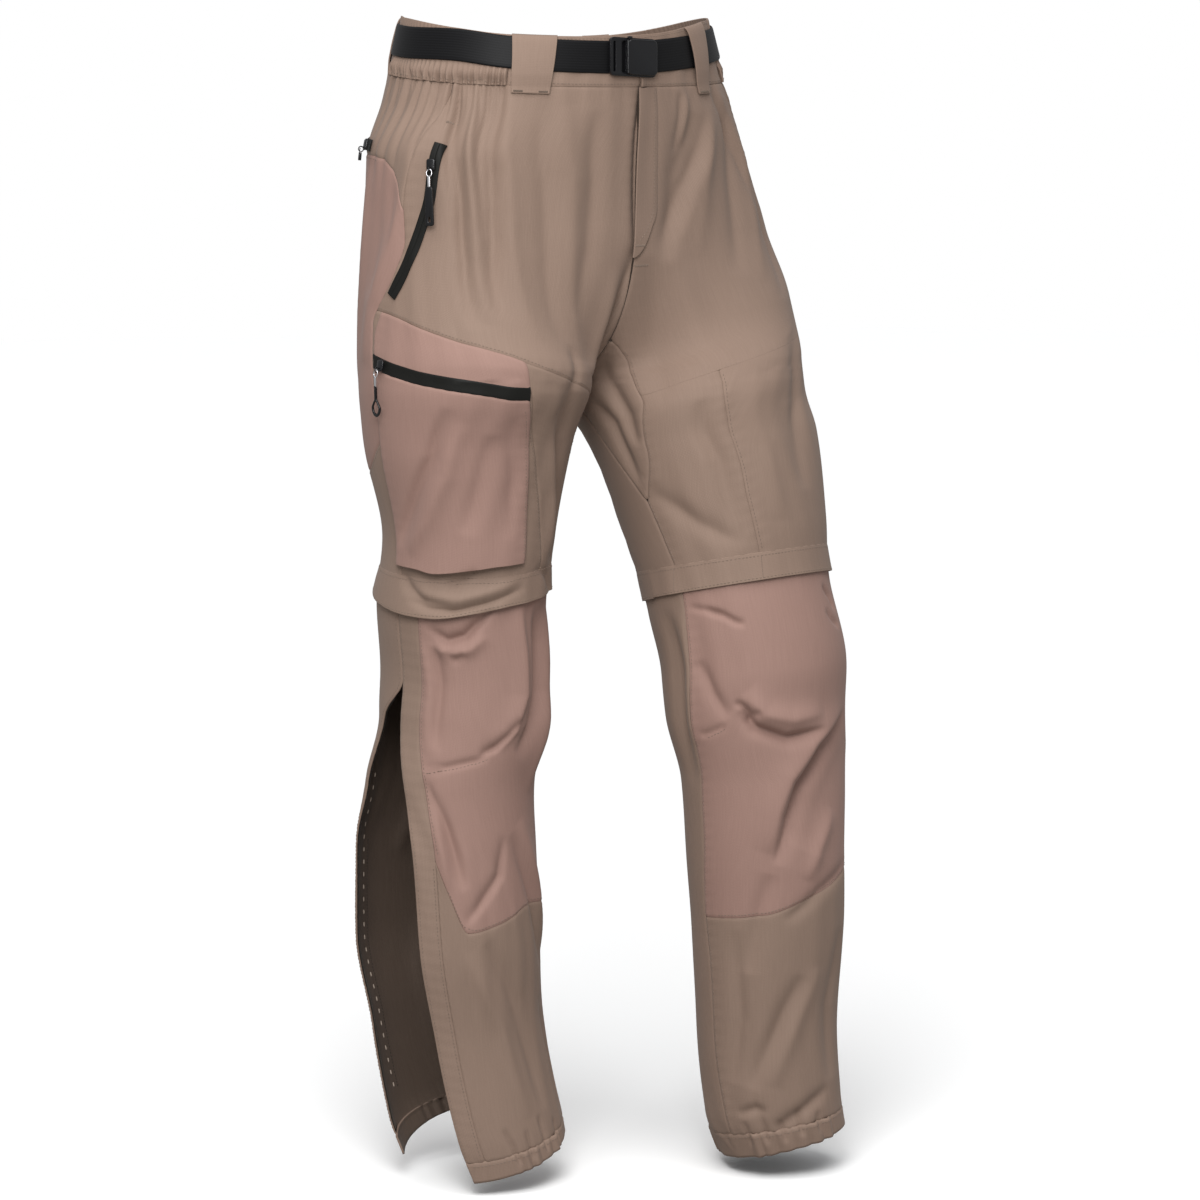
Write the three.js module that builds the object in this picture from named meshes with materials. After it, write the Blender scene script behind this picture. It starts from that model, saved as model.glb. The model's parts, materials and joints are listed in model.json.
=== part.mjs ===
// Convertible zip-off walking trousers with their webbing belt, in the hollow shape they have when worn.
// Millimetres, +Z up, the front faces -Y and the wearer's right is -X.
// The origin is the middle of the waist at the height of the belt.
import * as THREE from 'three';

// Driving sizes
const CLOTH = 1.3;
const SEAM_GAP = 0.32;
const LAYER_GAP = 0.5;
const CROTCH_START = 165;
const CROTCH_DEPTH = 300;
const WAIST_SEAM = 36;
const BELT_WIDTH = 26;
const BELT_THICKNESS = 1.8;
const RUFFLES = 20;
const RUFFLE_HEIGHT = 2.2;
const HEM_GATHER = 1.6;
const ZIP_WIDTH = 11;
const SLIT_TOP = 547;
const ZIP_OFF_TOP = 474;
const ZIP_OFF_BOTTOM = 486;
const FLAP_TOP = 466;
const HEM_SEAM = 975;
const HEM_END = { right: 989, left: 994 };
const RIGHT = -1;
const LEFT = 1;

// Colours of the pieces
const SHELL_CLOTH = new THREE.MeshStandardMaterial({ color: 0x8e786b, roughness: 0.85 });
const PANEL_CLOTH = new THREE.MeshStandardMaterial({ color: 0xa98c81, roughness: 0.85 });
const WEBBING = new THREE.MeshStandardMaterial({ color: 0x202020, roughness: 0.7 });
const ZIP_TAPE = new THREE.MeshStandardMaterial({ color: 0x27211b, roughness: 0.75 });
const MOULDED = new THREE.MeshStandardMaterial({ color: 0x1c1c1c, roughness: 0.35 });
const ZIP_METAL = new THREE.MeshStandardMaterial({ color: 0xb9b9bd, roughness: 0.3, metalness: 1 });

const trousers = new THREE.Group();

// Sections. Depth is how far a ring lies below the belt line.
// On the hips each side is half an oval between the centre front and the centre back.
// The waistband sinks behind by 'sink', from where SINK_START stands on each side to SINK_END.
const HIP_COLUMNS = ['depth', 'halfRight', 'halfLeft', 'front', 'back', 'sideTilt', 'frontTilt',
  'shift', 'bulgeRight', 'bulgeLeft', 'sink'];
const HIP_ROWS = [
  [-22, 148, 149, 116, 107, 0.06, 0.12, 0, 0, 0, 26],
  [20, 156, 166, 117, 118, 0.05, 0.12, 0, 0, 0, 22],
  [60, 166, 185, 115, 130, 0.02, 0.08, 2, 2, 3, 9],
  [110, 185, 202, 109, 142, 0, 0.05, 5, 5, 8, 0],
  [165, 187, 217, 104, 150, 0, 0.03, 8, 8, 18, 0],
  [230, 188, 233, 103, 152, 0, 0.01, 8, 8, 32, 0],
  [300, 186, 238, 103, 152, 0, 0, 8, 8, 32, 0],
];
const SINK_START = { right: 0.64, left: 0.32 };
const SINK_END = { right: 0.96, left: 0.8 };
// Each leg is an oval ring: its middle, its half width, its front and back halves, how far it is
// turned and tilted, and where its front and back edges stand in half turns when the side zip is open.
const LEG_COLUMNS = ['depth', 'x', 'y', 'across', 'front', 'back', 'turn', 'sideTilt', 'frontTilt',
  'frontEdge', 'backEdge'];
const RIGHT_LEG_ROWS = [
  [300, -92, 0, 100, 121, 106, 0, 0, 0, 1, 1],
  [360, -91, 7, 91, 90, 98, 0, 0.02, 0, 1, 1],
  [440, -88, 11, 75, 78, 83, 0, 0.05, 0.03, 1, 1],
  [500, -91, 18, 72, 77, 85, 0, 0.12, 0.1, 1, 1],
  [562, -88, 19, 70, 77, 85, 0, 0.05, 0.05, 1, 1],
  [600, -88, 19, 73, 77, 84, 0, 0.03, 0.02, 1, 1.12],
  [660, -99, 26, 74, 76, 80, 0, 0.03, 0.02, 0.9, 1.18],
  [720, -101, 30, 80, 80, 84, 0, 0.03, 0.02, 0.83, 1.2],
  [800, -100, 29, 82, 82, 86, 0, 0.03, 0.02, 0.81, 1.2],
  [880, -93, 25, 77, 77, 78, 0, 0.08, 0.05, 0.79, 1.2],
  [960, -84, 13, 77, 77, 77, 0, 0.15, 0.08, 0.77, 1.2],
  [990, -79, 5, 73, 73, 73, 0, 0.27, 0.12, 0.75, 1.2],
];
const LEFT_LEG_ROWS = [
  [300, 120, 0, 112, 160, 80, 0, 0.03, -0.05, 1, 1],
  [360, 123, -64, 101, 102, 103, -18, 0.04, -0.12, 1, 1],
  [440, 128, -88, 90, 91, 91, -14, 0.05, -0.16, 1, 1],
  [500, 130, -103, 83, 81, 79, -10, 0.05, -0.19, 1, 1],
  [562, 137, -116, 84, 82, 82, -9, 0.05, -0.1, 1, 1],
  [600, 137, -119, 82, 78, 81, -8, 0.05, -0.08, 1, 1],
  [660, 141, -126, 75, 72, 75, -5, 0.05, -0.06, 1, 1],
  [720, 141, -129, 72, 70, 74, 0, 0.05, -0.05, 1, 1],
  [800, 143, -131, 69, 67, 71, 0, 0.05, -0.05, 1, 1],
  [880, 142, -131, 64, 62, 66, 0, 0.06, -0.06, 1, 1],
  [960, 146, -135, 62, 60, 63, 0, 0.1, -0.1, 1, 1],
  [994, 154, -140, 57, 55, 59, 0, 0.18, -0.15, 1, 1],
];
// The largest folds: a soft ridge or trough between two places on one side's cloth.
const FOLD_COLUMNS = ['side', 'around', 'depth', 'toAround', 'toDepth', 'width', 'height'];
const FOLD_ROWS = [
  [RIGHT, 0.4, 70, 0.46, 160, 15, 4],
  [RIGHT, 0.46, 160, 0.55, 262, 15, 4],
  [RIGHT, 0.2, 310, 0.16, 440, 16, -3.5],
  [RIGHT, 0.19, 510, 0.13, 625, 16, -5],
  [RIGHT, 0.3, 790, 0.27, 880, 22, -3],
  [RIGHT, 0.6, 120, 0.66, 330, 26, 4],
  [RIGHT, 0.85, 400, 0.7, 455, 22, -4],
  [RIGHT, 0.8, 610, 0.68, 690, 20, -4],
  [LEFT, 0.13, 60, 0.06, 165, 20, -3],
  [LEFT, 0.36, 612, 0.22, 664, 15, -5],
  [LEFT, 0.22, 664, 0.15, 730, 15, -5],
  [LEFT, 0.26, 850, 0.12, 940, 20, -4],
  [LEFT, 0.6, 120, 0.68, 330, 26, 4],
  [LEFT, 0.88, 420, 0.72, 470, 22, -4],
  [LEFT, 0.82, 600, 0.7, 680, 20, -4],
];

// Seams that run down the garment, as where they stand around a side at each depth
const GUSSET_FRONT = [[-30, 0], [236, 0], [246, 0.02], [264, 0.048], [310, 0.088], [329, 0.102],
  [365, 0.096], [409, 0.06]];
const GUSSET_BACK = [[-30, 0], [300, 0], [328, 0.008], [351, 0.018], [380, 0.038], [409, 0.06]];
const INSEAM = [[409, 0.06], [440, 0.064], [474, 0.066], [547, 0.048], [636, 0.022], [701, -0.004],
  [778, -0.018], [819, -0.01], [900, -0.004], [962, 0.012], [994, 0.015]];
const THIGH_SEAM = {
  right: [[-30, 0.264], [44, 0.27], [170, 0.285], [286, 0.292], [378, 0.238], [474, 0.188]],
  left: [[-30, 0.264], [44, 0.25], [200, 0.22], [287, 0.2], [310, 0.209], [334, 0.222], [355, 0.226],
    [377, 0.219], [404, 0.212], [474, 0.208]],
};
const SIDE_SEAM = [[-30, 0.385], [44, 0.385], [110, 0.43], [150, 0.45], [182, 0.455], [207, 0.482],
  [229, 0.512], [252, 0.534], [284, 0.532], [349, 0.505], [368, 0.494], [420, 0.495], [474, 0.5]];
const STRIP_SEAM = [[480, 0.45], [1000, 0.452]];
// Where the rows of neighbouring pieces meet each seam, so that both sides of a seam bend alike
const FRONT_STOPS = {
  hip: [36, 66, 96, 136, 186, 236, 241, 252, 270, 294, 318],
  thigh: [318, 332, 348, 365, 385, 403, 409, 425, 441, 457, 474],
  gusset: [241, 252, 270, 294, 318, 332, 348, 365, 385, 403],
};
const BACK_STOPS = {
  gusset: [241, 252, 262, 274, 287, 300, 328, 354, 380, 403],
  thigh: [300, 328, 354, 380, 403, 409, 474],
};
const SIDE_STOPS = {
  hip: [36, 60, 84, 108, 132, 155, 168, 182, 207, 229, 252],
  yoke: [36, 60, 84, 108, 132, 155],
  seat: [155, 168, 182, 207, 229, 252, 268, 284, 316, 349],
  thigh: [252, 268, 284, 316, 349, 368, 394, 420, 447, 460, 474],
  thighBack: [349, 368, 394, 420, 447, 460, 474],
};
const OUTER_STOPS = {
  knee: [486, 516, 547, 575, 603, 631, 660, 689, 717],
  shin: [717, 760, 803, 846, 889, 932, 975],
};
const INNER_STOPS = {
  knee: [486, 522, 558, 594, 631, 667, 703, 740, 776],
  shin: [776, 809, 842, 875, 909, 942, 975],
};
const CARGO_FRONT = [[250, 0.28], [286, 0.276], [316, 0.274], [352, 0.258], [386, 0.252], [474, 0.252]];

// Seams that run across, as the depth at each place around a side
const YOKE_SEAM = {
  right: [[0, 320], [0.095, 318], [0.15, 310], [0.208, 299], [0.268, 287], [0.316, 276], [0.368, 268],
    [0.426, 259], [0.48, 254], [0.54, 252]],
  left: [[0, 322], [0.095, 318], [0.13, 308], [0.156, 301], [0.196, 290], [0.238, 281], [0.282, 275],
    [0.414, 262], [0.54, 252]],
};
const SEAT_TOP = [[0.45, 156], [0.48, 130], [0.536, 112], [0.61, 109], [0.8, 107], [1, 105]];
const SEAT_BOTTOM = [[0.5, 347], [0.584, 380], [0.7, 385], [0.85, 352], [0.95, 318], [1, 300]];
const CARGO_ZIP = [[0.26, 311.5], [0.302, 311], [0.36, 306], [0.432, 299], [0.52, 286], [0.54, 283]];
const CARGO_BOTTOM = 459;
const GUSSET_END = 409;
const FLAP_BOTTOM = {
  right: [[0, 490], [0.18, 489], [0.27, 489], [0.33, 492], [0.42, 497], [0.5, 496], [0.6, 493], [1, 490]],
  left: [[0, 490], [1, 491]],
};
const KNEE_BOTTOM = {
  right: [[-0.02, 776], [0.1, 772], [0.224, 767], [0.31, 777], [0.392, 783], [0.425, 752], [0.452, 717]],
  left: [[-0.02, 780], [0.118, 778], [0.198, 770], [0.356, 750], [0.41, 738], [0.452, 717]],
};
const BELT_LINE = {
  right: [[0, 9.5], [0.17, 8], [0.27, 6], [0.39, 2], [0.56, 4], [1, 4]],
  left: [[0, 9.5], [0.13, 6.5], [0.25, 3.5], [0.5, 2], [1, 4]],
};
const WAIST_EDGE = {
  right: [[0, -10], [0.17, -9], [0.27, -9.5], [0.39, -13], [0.57, -17], [1, -17]],
  left: [[0, -10], [0.05, -11], [0.14, -15], [0.23, -18], [0.5, -18], [1, -17]],
};

// A table read at any place, with a soft curve through its rows that never overshoots
function curveThrough(points, at) {
  const last = points.length - 1;
  const slope = (i) => (points[i + 1][1] - points[i][1]) / (points[i + 1][0] - points[i][0]);
  const lean = (i) => {
    if (i === 0) return slope(0);
    if (i === last) return slope(last - 1);
    const before = slope(i - 1);
    const after = slope(i);
    return before * after > 0 ? (2 * before * after) / (before + after) : 0;
  };
  let k = 0;
  while (k < last - 1 && at > points[k + 1][0]) k += 1;
  const span = points[k + 1][0] - points[k][0];
  const t = (at - points[k][0]) / span;
  const square = t * t;
  const cube = square * t;
  return (2 * cube - 3 * square + 1) * points[k][1] + (cube - 2 * square + t) * span * lean(k)
    + (3 * square - 2 * cube) * points[k + 1][1] + (cube - square) * span * lean(k + 1);
}

function tableCurves(columns, rows) {
  const curves = {};
  columns.slice(1).forEach((name, index) => {
    curves[name] = rows.map((row) => [row[0], row[index + 1]]);
  });
  return curves;
}

const HIPS = tableCurves(HIP_COLUMNS, HIP_ROWS);
const LEGS = {
  right: tableCurves(LEG_COLUMNS, RIGHT_LEG_ROWS),
  left: tableCurves(LEG_COLUMNS, LEFT_LEG_ROWS),
};
const FOLDS = FOLD_ROWS.map((row) => Object.fromEntries(FOLD_COLUMNS.map((name, i) => [name, row[i]])));

function sideName(side) {
  return side === RIGHT ? 'right' : 'left';
}

// The outer face of the cloth: hips above, leg rings below, joined along a quarter oval at the crotch
function formPoint(side, around, depth) {
  const turnAround = depth >= CROTCH_DEPTH ? ((around % 1) + 1) % 1 : around;
  const hipDepth = Math.min(depth, CROTCH_DEPTH);
  const hip = (name) => curveThrough(HIPS[name], hipDepth);
  const leg = (name) => curveThrough(LEGS[sideName(side)][name], Math.max(depth, CROTCH_DEPTH));
  const rise = THREE.MathUtils.clamp((depth - CROTCH_START) / (CROTCH_DEPTH - CROTCH_START), 0, 1);
  const sweep = (rise * Math.PI) / 2;
  const legShare = 1 - Math.cos(sweep);
  const halfTurn = Math.PI * turnAround;
  const half = side === RIGHT ? hip('halfRight') : hip('halfLeft');
  const bulge = side === RIGHT ? hip('bulgeRight') : hip('bulgeLeft');
  const forward = Math.cos(halfTurn);
  const hipX = hip('shift') + side * half * Math.sin(halfTurn);
  const hipY = forward > 0
    ? -hip('front') * forward - bulge * Math.sin(2 * halfTurn) ** 2
    : -hip('back') * forward;
  const frontEdge = 2 * turnAround * leg('frontEdge');
  const backEdge = 2 - 2 * (1 - turnAround) * (2 - leg('backEdge'));
  const ringAngle = Math.PI * (turnAround < 0.5 ? frontEdge : backEdge);
  const flatX = -side * leg('across') * Math.cos(ringAngle);
  const flatY = -Math.sin(ringAngle) * (Math.sin(ringAngle) > 0 ? leg('front') : leg('back'));
  const turn = THREE.MathUtils.degToRad(leg('turn'));
  const ringX = flatX * Math.cos(turn) - flatY * Math.sin(turn);
  const ringY = flatX * Math.sin(turn) + flatY * Math.cos(turn);
  const x = (1 - legShare) * hipX + legShare * (leg('x') + ringX);
  const y = (1 - legShare) * hipY + legShare * (leg('y') + ringY);
  const sinkFrom = SINK_START[sideName(side)];
  const sinkTo = SINK_END[sideName(side)];
  const backShare = THREE.MathUtils.clamp((turnAround - sinkFrom) / (sinkTo - sinkFrom), 0, 1);
  const sunk = (hip('sink') * (1 - Math.cos(Math.PI * backShare))) / 2;
  const hipTilt = hip('sideTilt') * hipX + hip('frontTilt') * hipY - sunk;
  const legTilt = leg('sideTilt') * ringX + leg('frontTilt') * ringY;
  const onCurve = depth > CROTCH_START && depth < CROTCH_DEPTH;
  const drop = onCurve ? CROTCH_START + (CROTCH_DEPTH - CROTCH_START) * Math.sin(sweep) - depth : 0;
  const z = -depth - drop * Math.cos(halfTurn) ** 4 + (1 - legShare) * hipTilt + legShare * legTilt;
  return new THREE.Vector3(x, y, z);
}

const ACROSS_STEP = 0.012;
const DOWN_STEP = 5;

// The way out of the cloth, from points a short step away on each side
function formNormal(side, around, depth) {
  const openEnd = depth < CROTCH_DEPTH;
  const before = openEnd ? Math.max(around - ACROSS_STEP, 0) : around - ACROSS_STEP;
  const after = openEnd ? Math.min(around + ACROSS_STEP, 1) : around + ACROSS_STEP;
  const slitSide = side === RIGHT && depth > SLIT_TOP;
  const stopBefore = slitSide && around >= 0.5 ? Math.max(before, 0.5) : before;
  const stopAfter = slitSide && around < 0.5 ? Math.min(after, 0.4999) : after;
  const across = formPoint(side, stopAfter, depth).sub(formPoint(side, stopBefore, depth));
  const down = formPoint(side, around, depth + DOWN_STEP).sub(formPoint(side, around, depth - DOWN_STEP));
  return across.cross(down).multiplyScalar(-side).normalize();
}

// About how many millimetres one full step around the side is, for the widths of folds
function girth(side, depth) {
  const name = sideName(side);
  if (depth < CROTCH_DEPTH) return 550;
  const across = curveThrough(LEGS[name].across, depth);
  return 2 * Math.PI * across;
}

function foldHeight(side, around, depth) {
  const perTurn = girth(side, depth);
  return FOLDS.filter((fold) => fold.side === side).reduce((sum, fold) => {
    const runX = (fold.toAround - fold.around) * perTurn;
    const runY = fold.toDepth - fold.depth;
    const offX = (around - fold.around) * perTurn;
    const offY = depth - fold.depth;
    const along = THREE.MathUtils.clamp((offX * runX + offY * runY) / (runX ** 2 + runY ** 2), 0, 1);
    const away = Math.hypot(offX - along * runX, offY - along * runY);
    return sum + fold.height * Math.exp(-((away / fold.width) ** 2));
  }, 0);
}

function clothPoint(side, around, depth, lift) {
  const raised = lift + foldHeight(side, around, depth);
  return formPoint(side, around, depth).addScaledVector(formNormal(side, around, depth), raised);
}

function mix(from, to, share) {
  return from + (to - from) * share;
}

function addMesh(name, geometry, material) {
  const mesh = new THREE.Mesh(geometry, material);
  mesh.name = name;
  trousers.add(mesh);
  return mesh;
}

// A closed wall between two grids of points, with a rim at each open edge
function wallGeometry(over, under, closed) {
  const rows = over.length;
  const columns = over[0].length;
  const positions = [...over.flat(), ...under.flat()].flatMap((point) => point.toArray());
  const indices = [];
  const at = (face, row, column) => (face * rows + row) * columns + (column % columns);
  const quad = (a, b, c, d) => indices.push(a, b, c, a, c, d);
  const spans = closed ? columns : columns - 1;
  for (let c = 0; c < spans; c += 1) {
    for (let r = 0; r < rows - 1; r += 1) {
      quad(at(0, r, c), at(0, r + 1, c), at(0, r + 1, c + 1), at(0, r, c + 1));
      quad(at(1, r, c), at(1, r, c + 1), at(1, r + 1, c + 1), at(1, r + 1, c));
    }
    quad(at(0, 0, c), at(0, 0, c + 1), at(1, 0, c + 1), at(1, 0, c));
    quad(at(0, rows - 1, c), at(1, rows - 1, c), at(1, rows - 1, c + 1), at(0, rows - 1, c + 1));
  }
  for (let r = 0; r < rows - 1 && !closed; r += 1) {
    const end = columns - 1;
    quad(at(0, r, 0), at(1, r, 0), at(1, r + 1, 0), at(0, r + 1, 0));
    quad(at(0, r, end), at(0, r + 1, end), at(1, r + 1, end), at(1, r, end));
  }
  const corner = (index) => new THREE.Vector3().fromArray(positions, index * 3);
  let volume = 0;
  for (let i = 0; i < indices.length; i += 3) {
    const [a, b, c] = [corner(indices[i]), corner(indices[i + 1]), corner(indices[i + 2])];
    volume += a.dot(b.cross(c));
  }
  if (volume < 0) indices.reverse();
  const geometry = new THREE.BufferGeometry();
  geometry.setAttribute('position', new THREE.Float32BufferAttribute(positions, 3));
  geometry.setIndex(indices);
  geometry.computeVertexNormals();
  return geometry;
}

// Draws the edges of a grid in by half a seam gap, so that sewn pieces stand just apart
function drawIn(grid, closed) {
  const half = SEAM_GAP / 2;
  const towards = (from, to) => from.clone().addScaledVector(to.clone().sub(from).normalize(), half);
  const lastRow = grid.length - 1;
  const lastColumn = grid[0].length - 1;
  const top = grid[0].map((point, c) => towards(point, grid[1][c]));
  const bottom = grid[lastRow].map((point, c) => towards(point, grid[lastRow - 1][c]));
  const drawn = grid.map((row, r) => {
    if (r === 0) return top;
    return r === lastRow ? bottom : row.map((point) => point.clone());
  });
  if (closed) return drawn;
  return drawn.map((row) => row.map((point, c) => {
    if (c === 0) return towards(point, row[1]);
    return c === lastColumn ? towards(point, row[lastColumn - 1]) : point;
  }));
}

// A sewn piece: place(a, b) says where each share across and down lies and how its wall is lifted
function addSewn(name, material, columns, rows, place, closed = false) {
  const over = [];
  const under = [];
  for (let r = 0; r <= rows; r += 1) {
    const overRow = [];
    const underRow = [];
    for (let c = 0; c < columns + (closed ? 0 : 1); c += 1) {
      const spot = place(c / columns, r / rows);
      overRow.push(clothPoint(spot.side, spot.around, spot.depth, spot.over));
      underRow.push(clothPoint(spot.side, spot.around, spot.depth, spot.under));
    }
    over.push(overRow);
    under.push(underRow);
  }
  addMesh(name, wallGeometry(drawIn(over, closed), drawIn(under, closed), closed), material);
}

const SETTLE_STEPS = 6;

// Where one of a panel's columns meets its top or bottom level
function edgeDepth(piece, strip, share, levelAt) {
  let depth = levelAt(0.5);
  for (let step = 0; step < SETTLE_STEPS; step += 1) {
    depth = levelAt(mix(piece.seams[strip](depth), piece.seams[strip + 1](depth), share));
  }
  return depth;
}

// A place in a panel between seams that run down it, with its rows meeting the first and the last
// seam at the named stops
function panelSpot(piece, a, b) {
  const { seams, counts, firstStops, lastStops } = piece;
  const total = counts.reduce((sum, count) => sum + count, 0);
  let strip = 0;
  let within = a * total;
  while (strip < counts.length - 1 && within > counts[strip] + 1e-9) {
    within -= counts[strip];
    strip += 1;
  }
  const share = within / counts[strip];
  const last = firstStops.length - 1;
  const row = Math.round(b * last);
  const down = (stops) => (stops[row] - stops[0]) / (stops[last] - stops[0]);
  const drop = mix(down(firstStops), down(lastStops), a);
  const stopAt = (index) => mix(firstStops[index], lastStops[index], a);
  const topDepth = edgeDepth(piece, strip, share, piece.top);
  const bottomDepth = edgeDepth(piece, strip, share, piece.bottom);
  const onSeam = a === 0 || a === 1;
  const shift = onSeam ? 0 : mix(topDepth - stopAt(0), bottomDepth - stopAt(last), drop);
  const inside = row === last ? bottomDepth : stopAt(row) + shift;
  const depth = row === 0 ? topDepth : inside;
  return { around: mix(seams[strip](depth), seams[strip + 1](depth), share), depth };
}

function addPanel(name, material, side, piece, lift = () => [-CLOTH, 0]) {
  const columns = piece.counts.reduce((sum, count) => sum + count, 0);
  addSewn(name, material, columns, piece.firstStops.length - 1, (a, b) => {
    const spot = panelSpot(piece, a, b);
    const [under, over] = lift(a, b);
    return { side, around: spot.around, depth: spot.depth, under, over };
  });
}

const seam = (points) => (depth) => curveThrough(points, depth);
const across = (points) => (around) => curveThrough(points, around);
const level = (depth) => () => depth;
const evenStops = (from, to, rows) => Array.from({ length: rows + 1 }, (_, r) => mix(from, to, r / rows));

// Down-seams of one side, front to back, on the thigh and below the knee
function gussetFront(depth) {
  return depth < GUSSET_END ? curveThrough(GUSSET_FRONT, depth) : curveThrough(INSEAM, depth);
}

function gussetBack(depth) {
  return depth < GUSSET_END ? curveThrough(GUSSET_BACK, depth) : curveThrough(INSEAM, depth);
}

function inseam(depth) {
  return curveThrough(INSEAM, depth);
}

const behind = (line) => (depth) => 1 + line(depth);

// Waistband: plain front pieces, elastic sides drawn into ruffles below the belt, plain back
function ruffle(a) {
  const fade = 0.65 + 0.35 * Math.sin(9.1 * a + 1.3);
  const peak = Math.round(a * RUFFLES * 2) % 2;
  return RUFFLE_HEIGHT * fade * peak;
}

const ELASTIC = { from: 0.264, to: 0.62 };
const BAND_ROWS = 4;

function bandSpot(side, around, b, wave) {
  const row = Math.round(b * BAND_ROWS);
  const depth = [curveThrough(WAIST_EDGE[sideName(side)], around), 6, 22, 28, WAIST_SEAM][row];
  const rise = row > 2 ? wave : 0;
  return { side, around, depth, under: rise - CLOTH, over: rise };
}

for (const side of [RIGHT, LEFT]) {
  const name = sideName(side);
  addSewn(`waistband_front_${name}`, SHELL_CLOTH, 7, BAND_ROWS, (a, b) => (
    bandSpot(side, mix(0, ELASTIC.from, a), b, 0)));
  addSewn(`waistband_elastic_${name}`, SHELL_CLOTH, RUFFLES * 2, BAND_ROWS, (a, b) => (
    bandSpot(side, mix(ELASTIC.from, ELASTIC.to, a), b, ruffle(a))));
}
addSewn('waistband_back', SHELL_CLOTH, 20, BAND_ROWS, (a, b) => {
  const side = a <= 0.5 ? RIGHT : LEFT;
  const around = a <= 0.5 ? mix(ELASTIC.to, 1, 2 * a) : mix(1, ELASTIC.to, 2 * a - 1);
  return bandSpot(side, around, b, 0);
});

// Belt: flat webbing all round, over the waistband
const BELT_STEPS = 48;
const BELT_UNDER = LAYER_GAP;
const BELT_OVER = BELT_UNDER + BELT_THICKNESS;

addSewn('belt_webbing', WEBBING, BELT_STEPS, 1, (a, b) => {
  const side = a <= 0.5 ? RIGHT : LEFT;
  const around = a <= 0.5 ? 2 * a : 2 - 2 * a;
  const depth = curveThrough(BELT_LINE[sideName(side)], around) + (b - 0.5) * BELT_WIDTH;
  return { side, around, depth, under: BELT_UNDER, over: BELT_OVER };
}, true);

// Belt loops: straps sewn to the band above and below, standing clear over the belt
const LOOP_THICKNESS = 1.2;
const LOOP_LIFTS = [LAYER_GAP, BELT_OVER + LAYER_GAP, BELT_OVER + 2 * LAYER_GAP, BELT_OVER + LAYER_GAP,
  RUFFLE_HEIGHT + 0.4, 0.9];
const LOOP_COLUMNS = ['name', 'side', 'top', 'bottom', 'halfTop', 'halfBottom'];
const LOOP_ROWS = [
  ['front_right', RIGHT, 0.219, 0.218, 0.045, 0.036],
  ['front_left', LEFT, 0.165, 0.166, 0.04, 0.032],
  ['back_right', RIGHT, 0.74, 0.74, 0.03, 0.028],
  ['back_left', LEFT, 0.74, 0.74, 0.03, 0.028],
];
const LOOPS = LOOP_ROWS.map((row) => Object.fromEntries(LOOP_COLUMNS.map((name, i) => [name, row[i]])));

function loopSpot(side, middle, halfWidth, a, b) {
  const edge = curveThrough(WAIST_EDGE[sideName(side)], middle);
  const row = Math.round(b * (LOOP_LIFTS.length - 1));
  const depth = [edge + 0.5, edge + 2, 6, 24, 31, 44][row];
  const around = middle + (2 * a - 1) * halfWidth;
  return { side, around, depth, under: LOOP_LIFTS[row], over: LOOP_LIFTS[row] + LOOP_THICKNESS };
}

for (const loop of LOOPS) {
  addSewn(`belt_loop_${loop.name}`, SHELL_CLOTH, 4, LOOP_LIFTS.length - 1, (a, b) => (
    loopSpot(loop.side, mix(loop.top, loop.bottom, b), mix(loop.halfTop, loop.halfBottom, b), a, b)));
}
addSewn('belt_loop_back_centre', SHELL_CLOTH, 4, LOOP_LIFTS.length - 1, (a, b) => {
  const side = a <= 0.5 ? RIGHT : LEFT;
  const reach = 0.026 * Math.abs(2 * a - 1);
  return loopSpot(side, 1 - reach, 0, 0.5, b);
});

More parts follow.
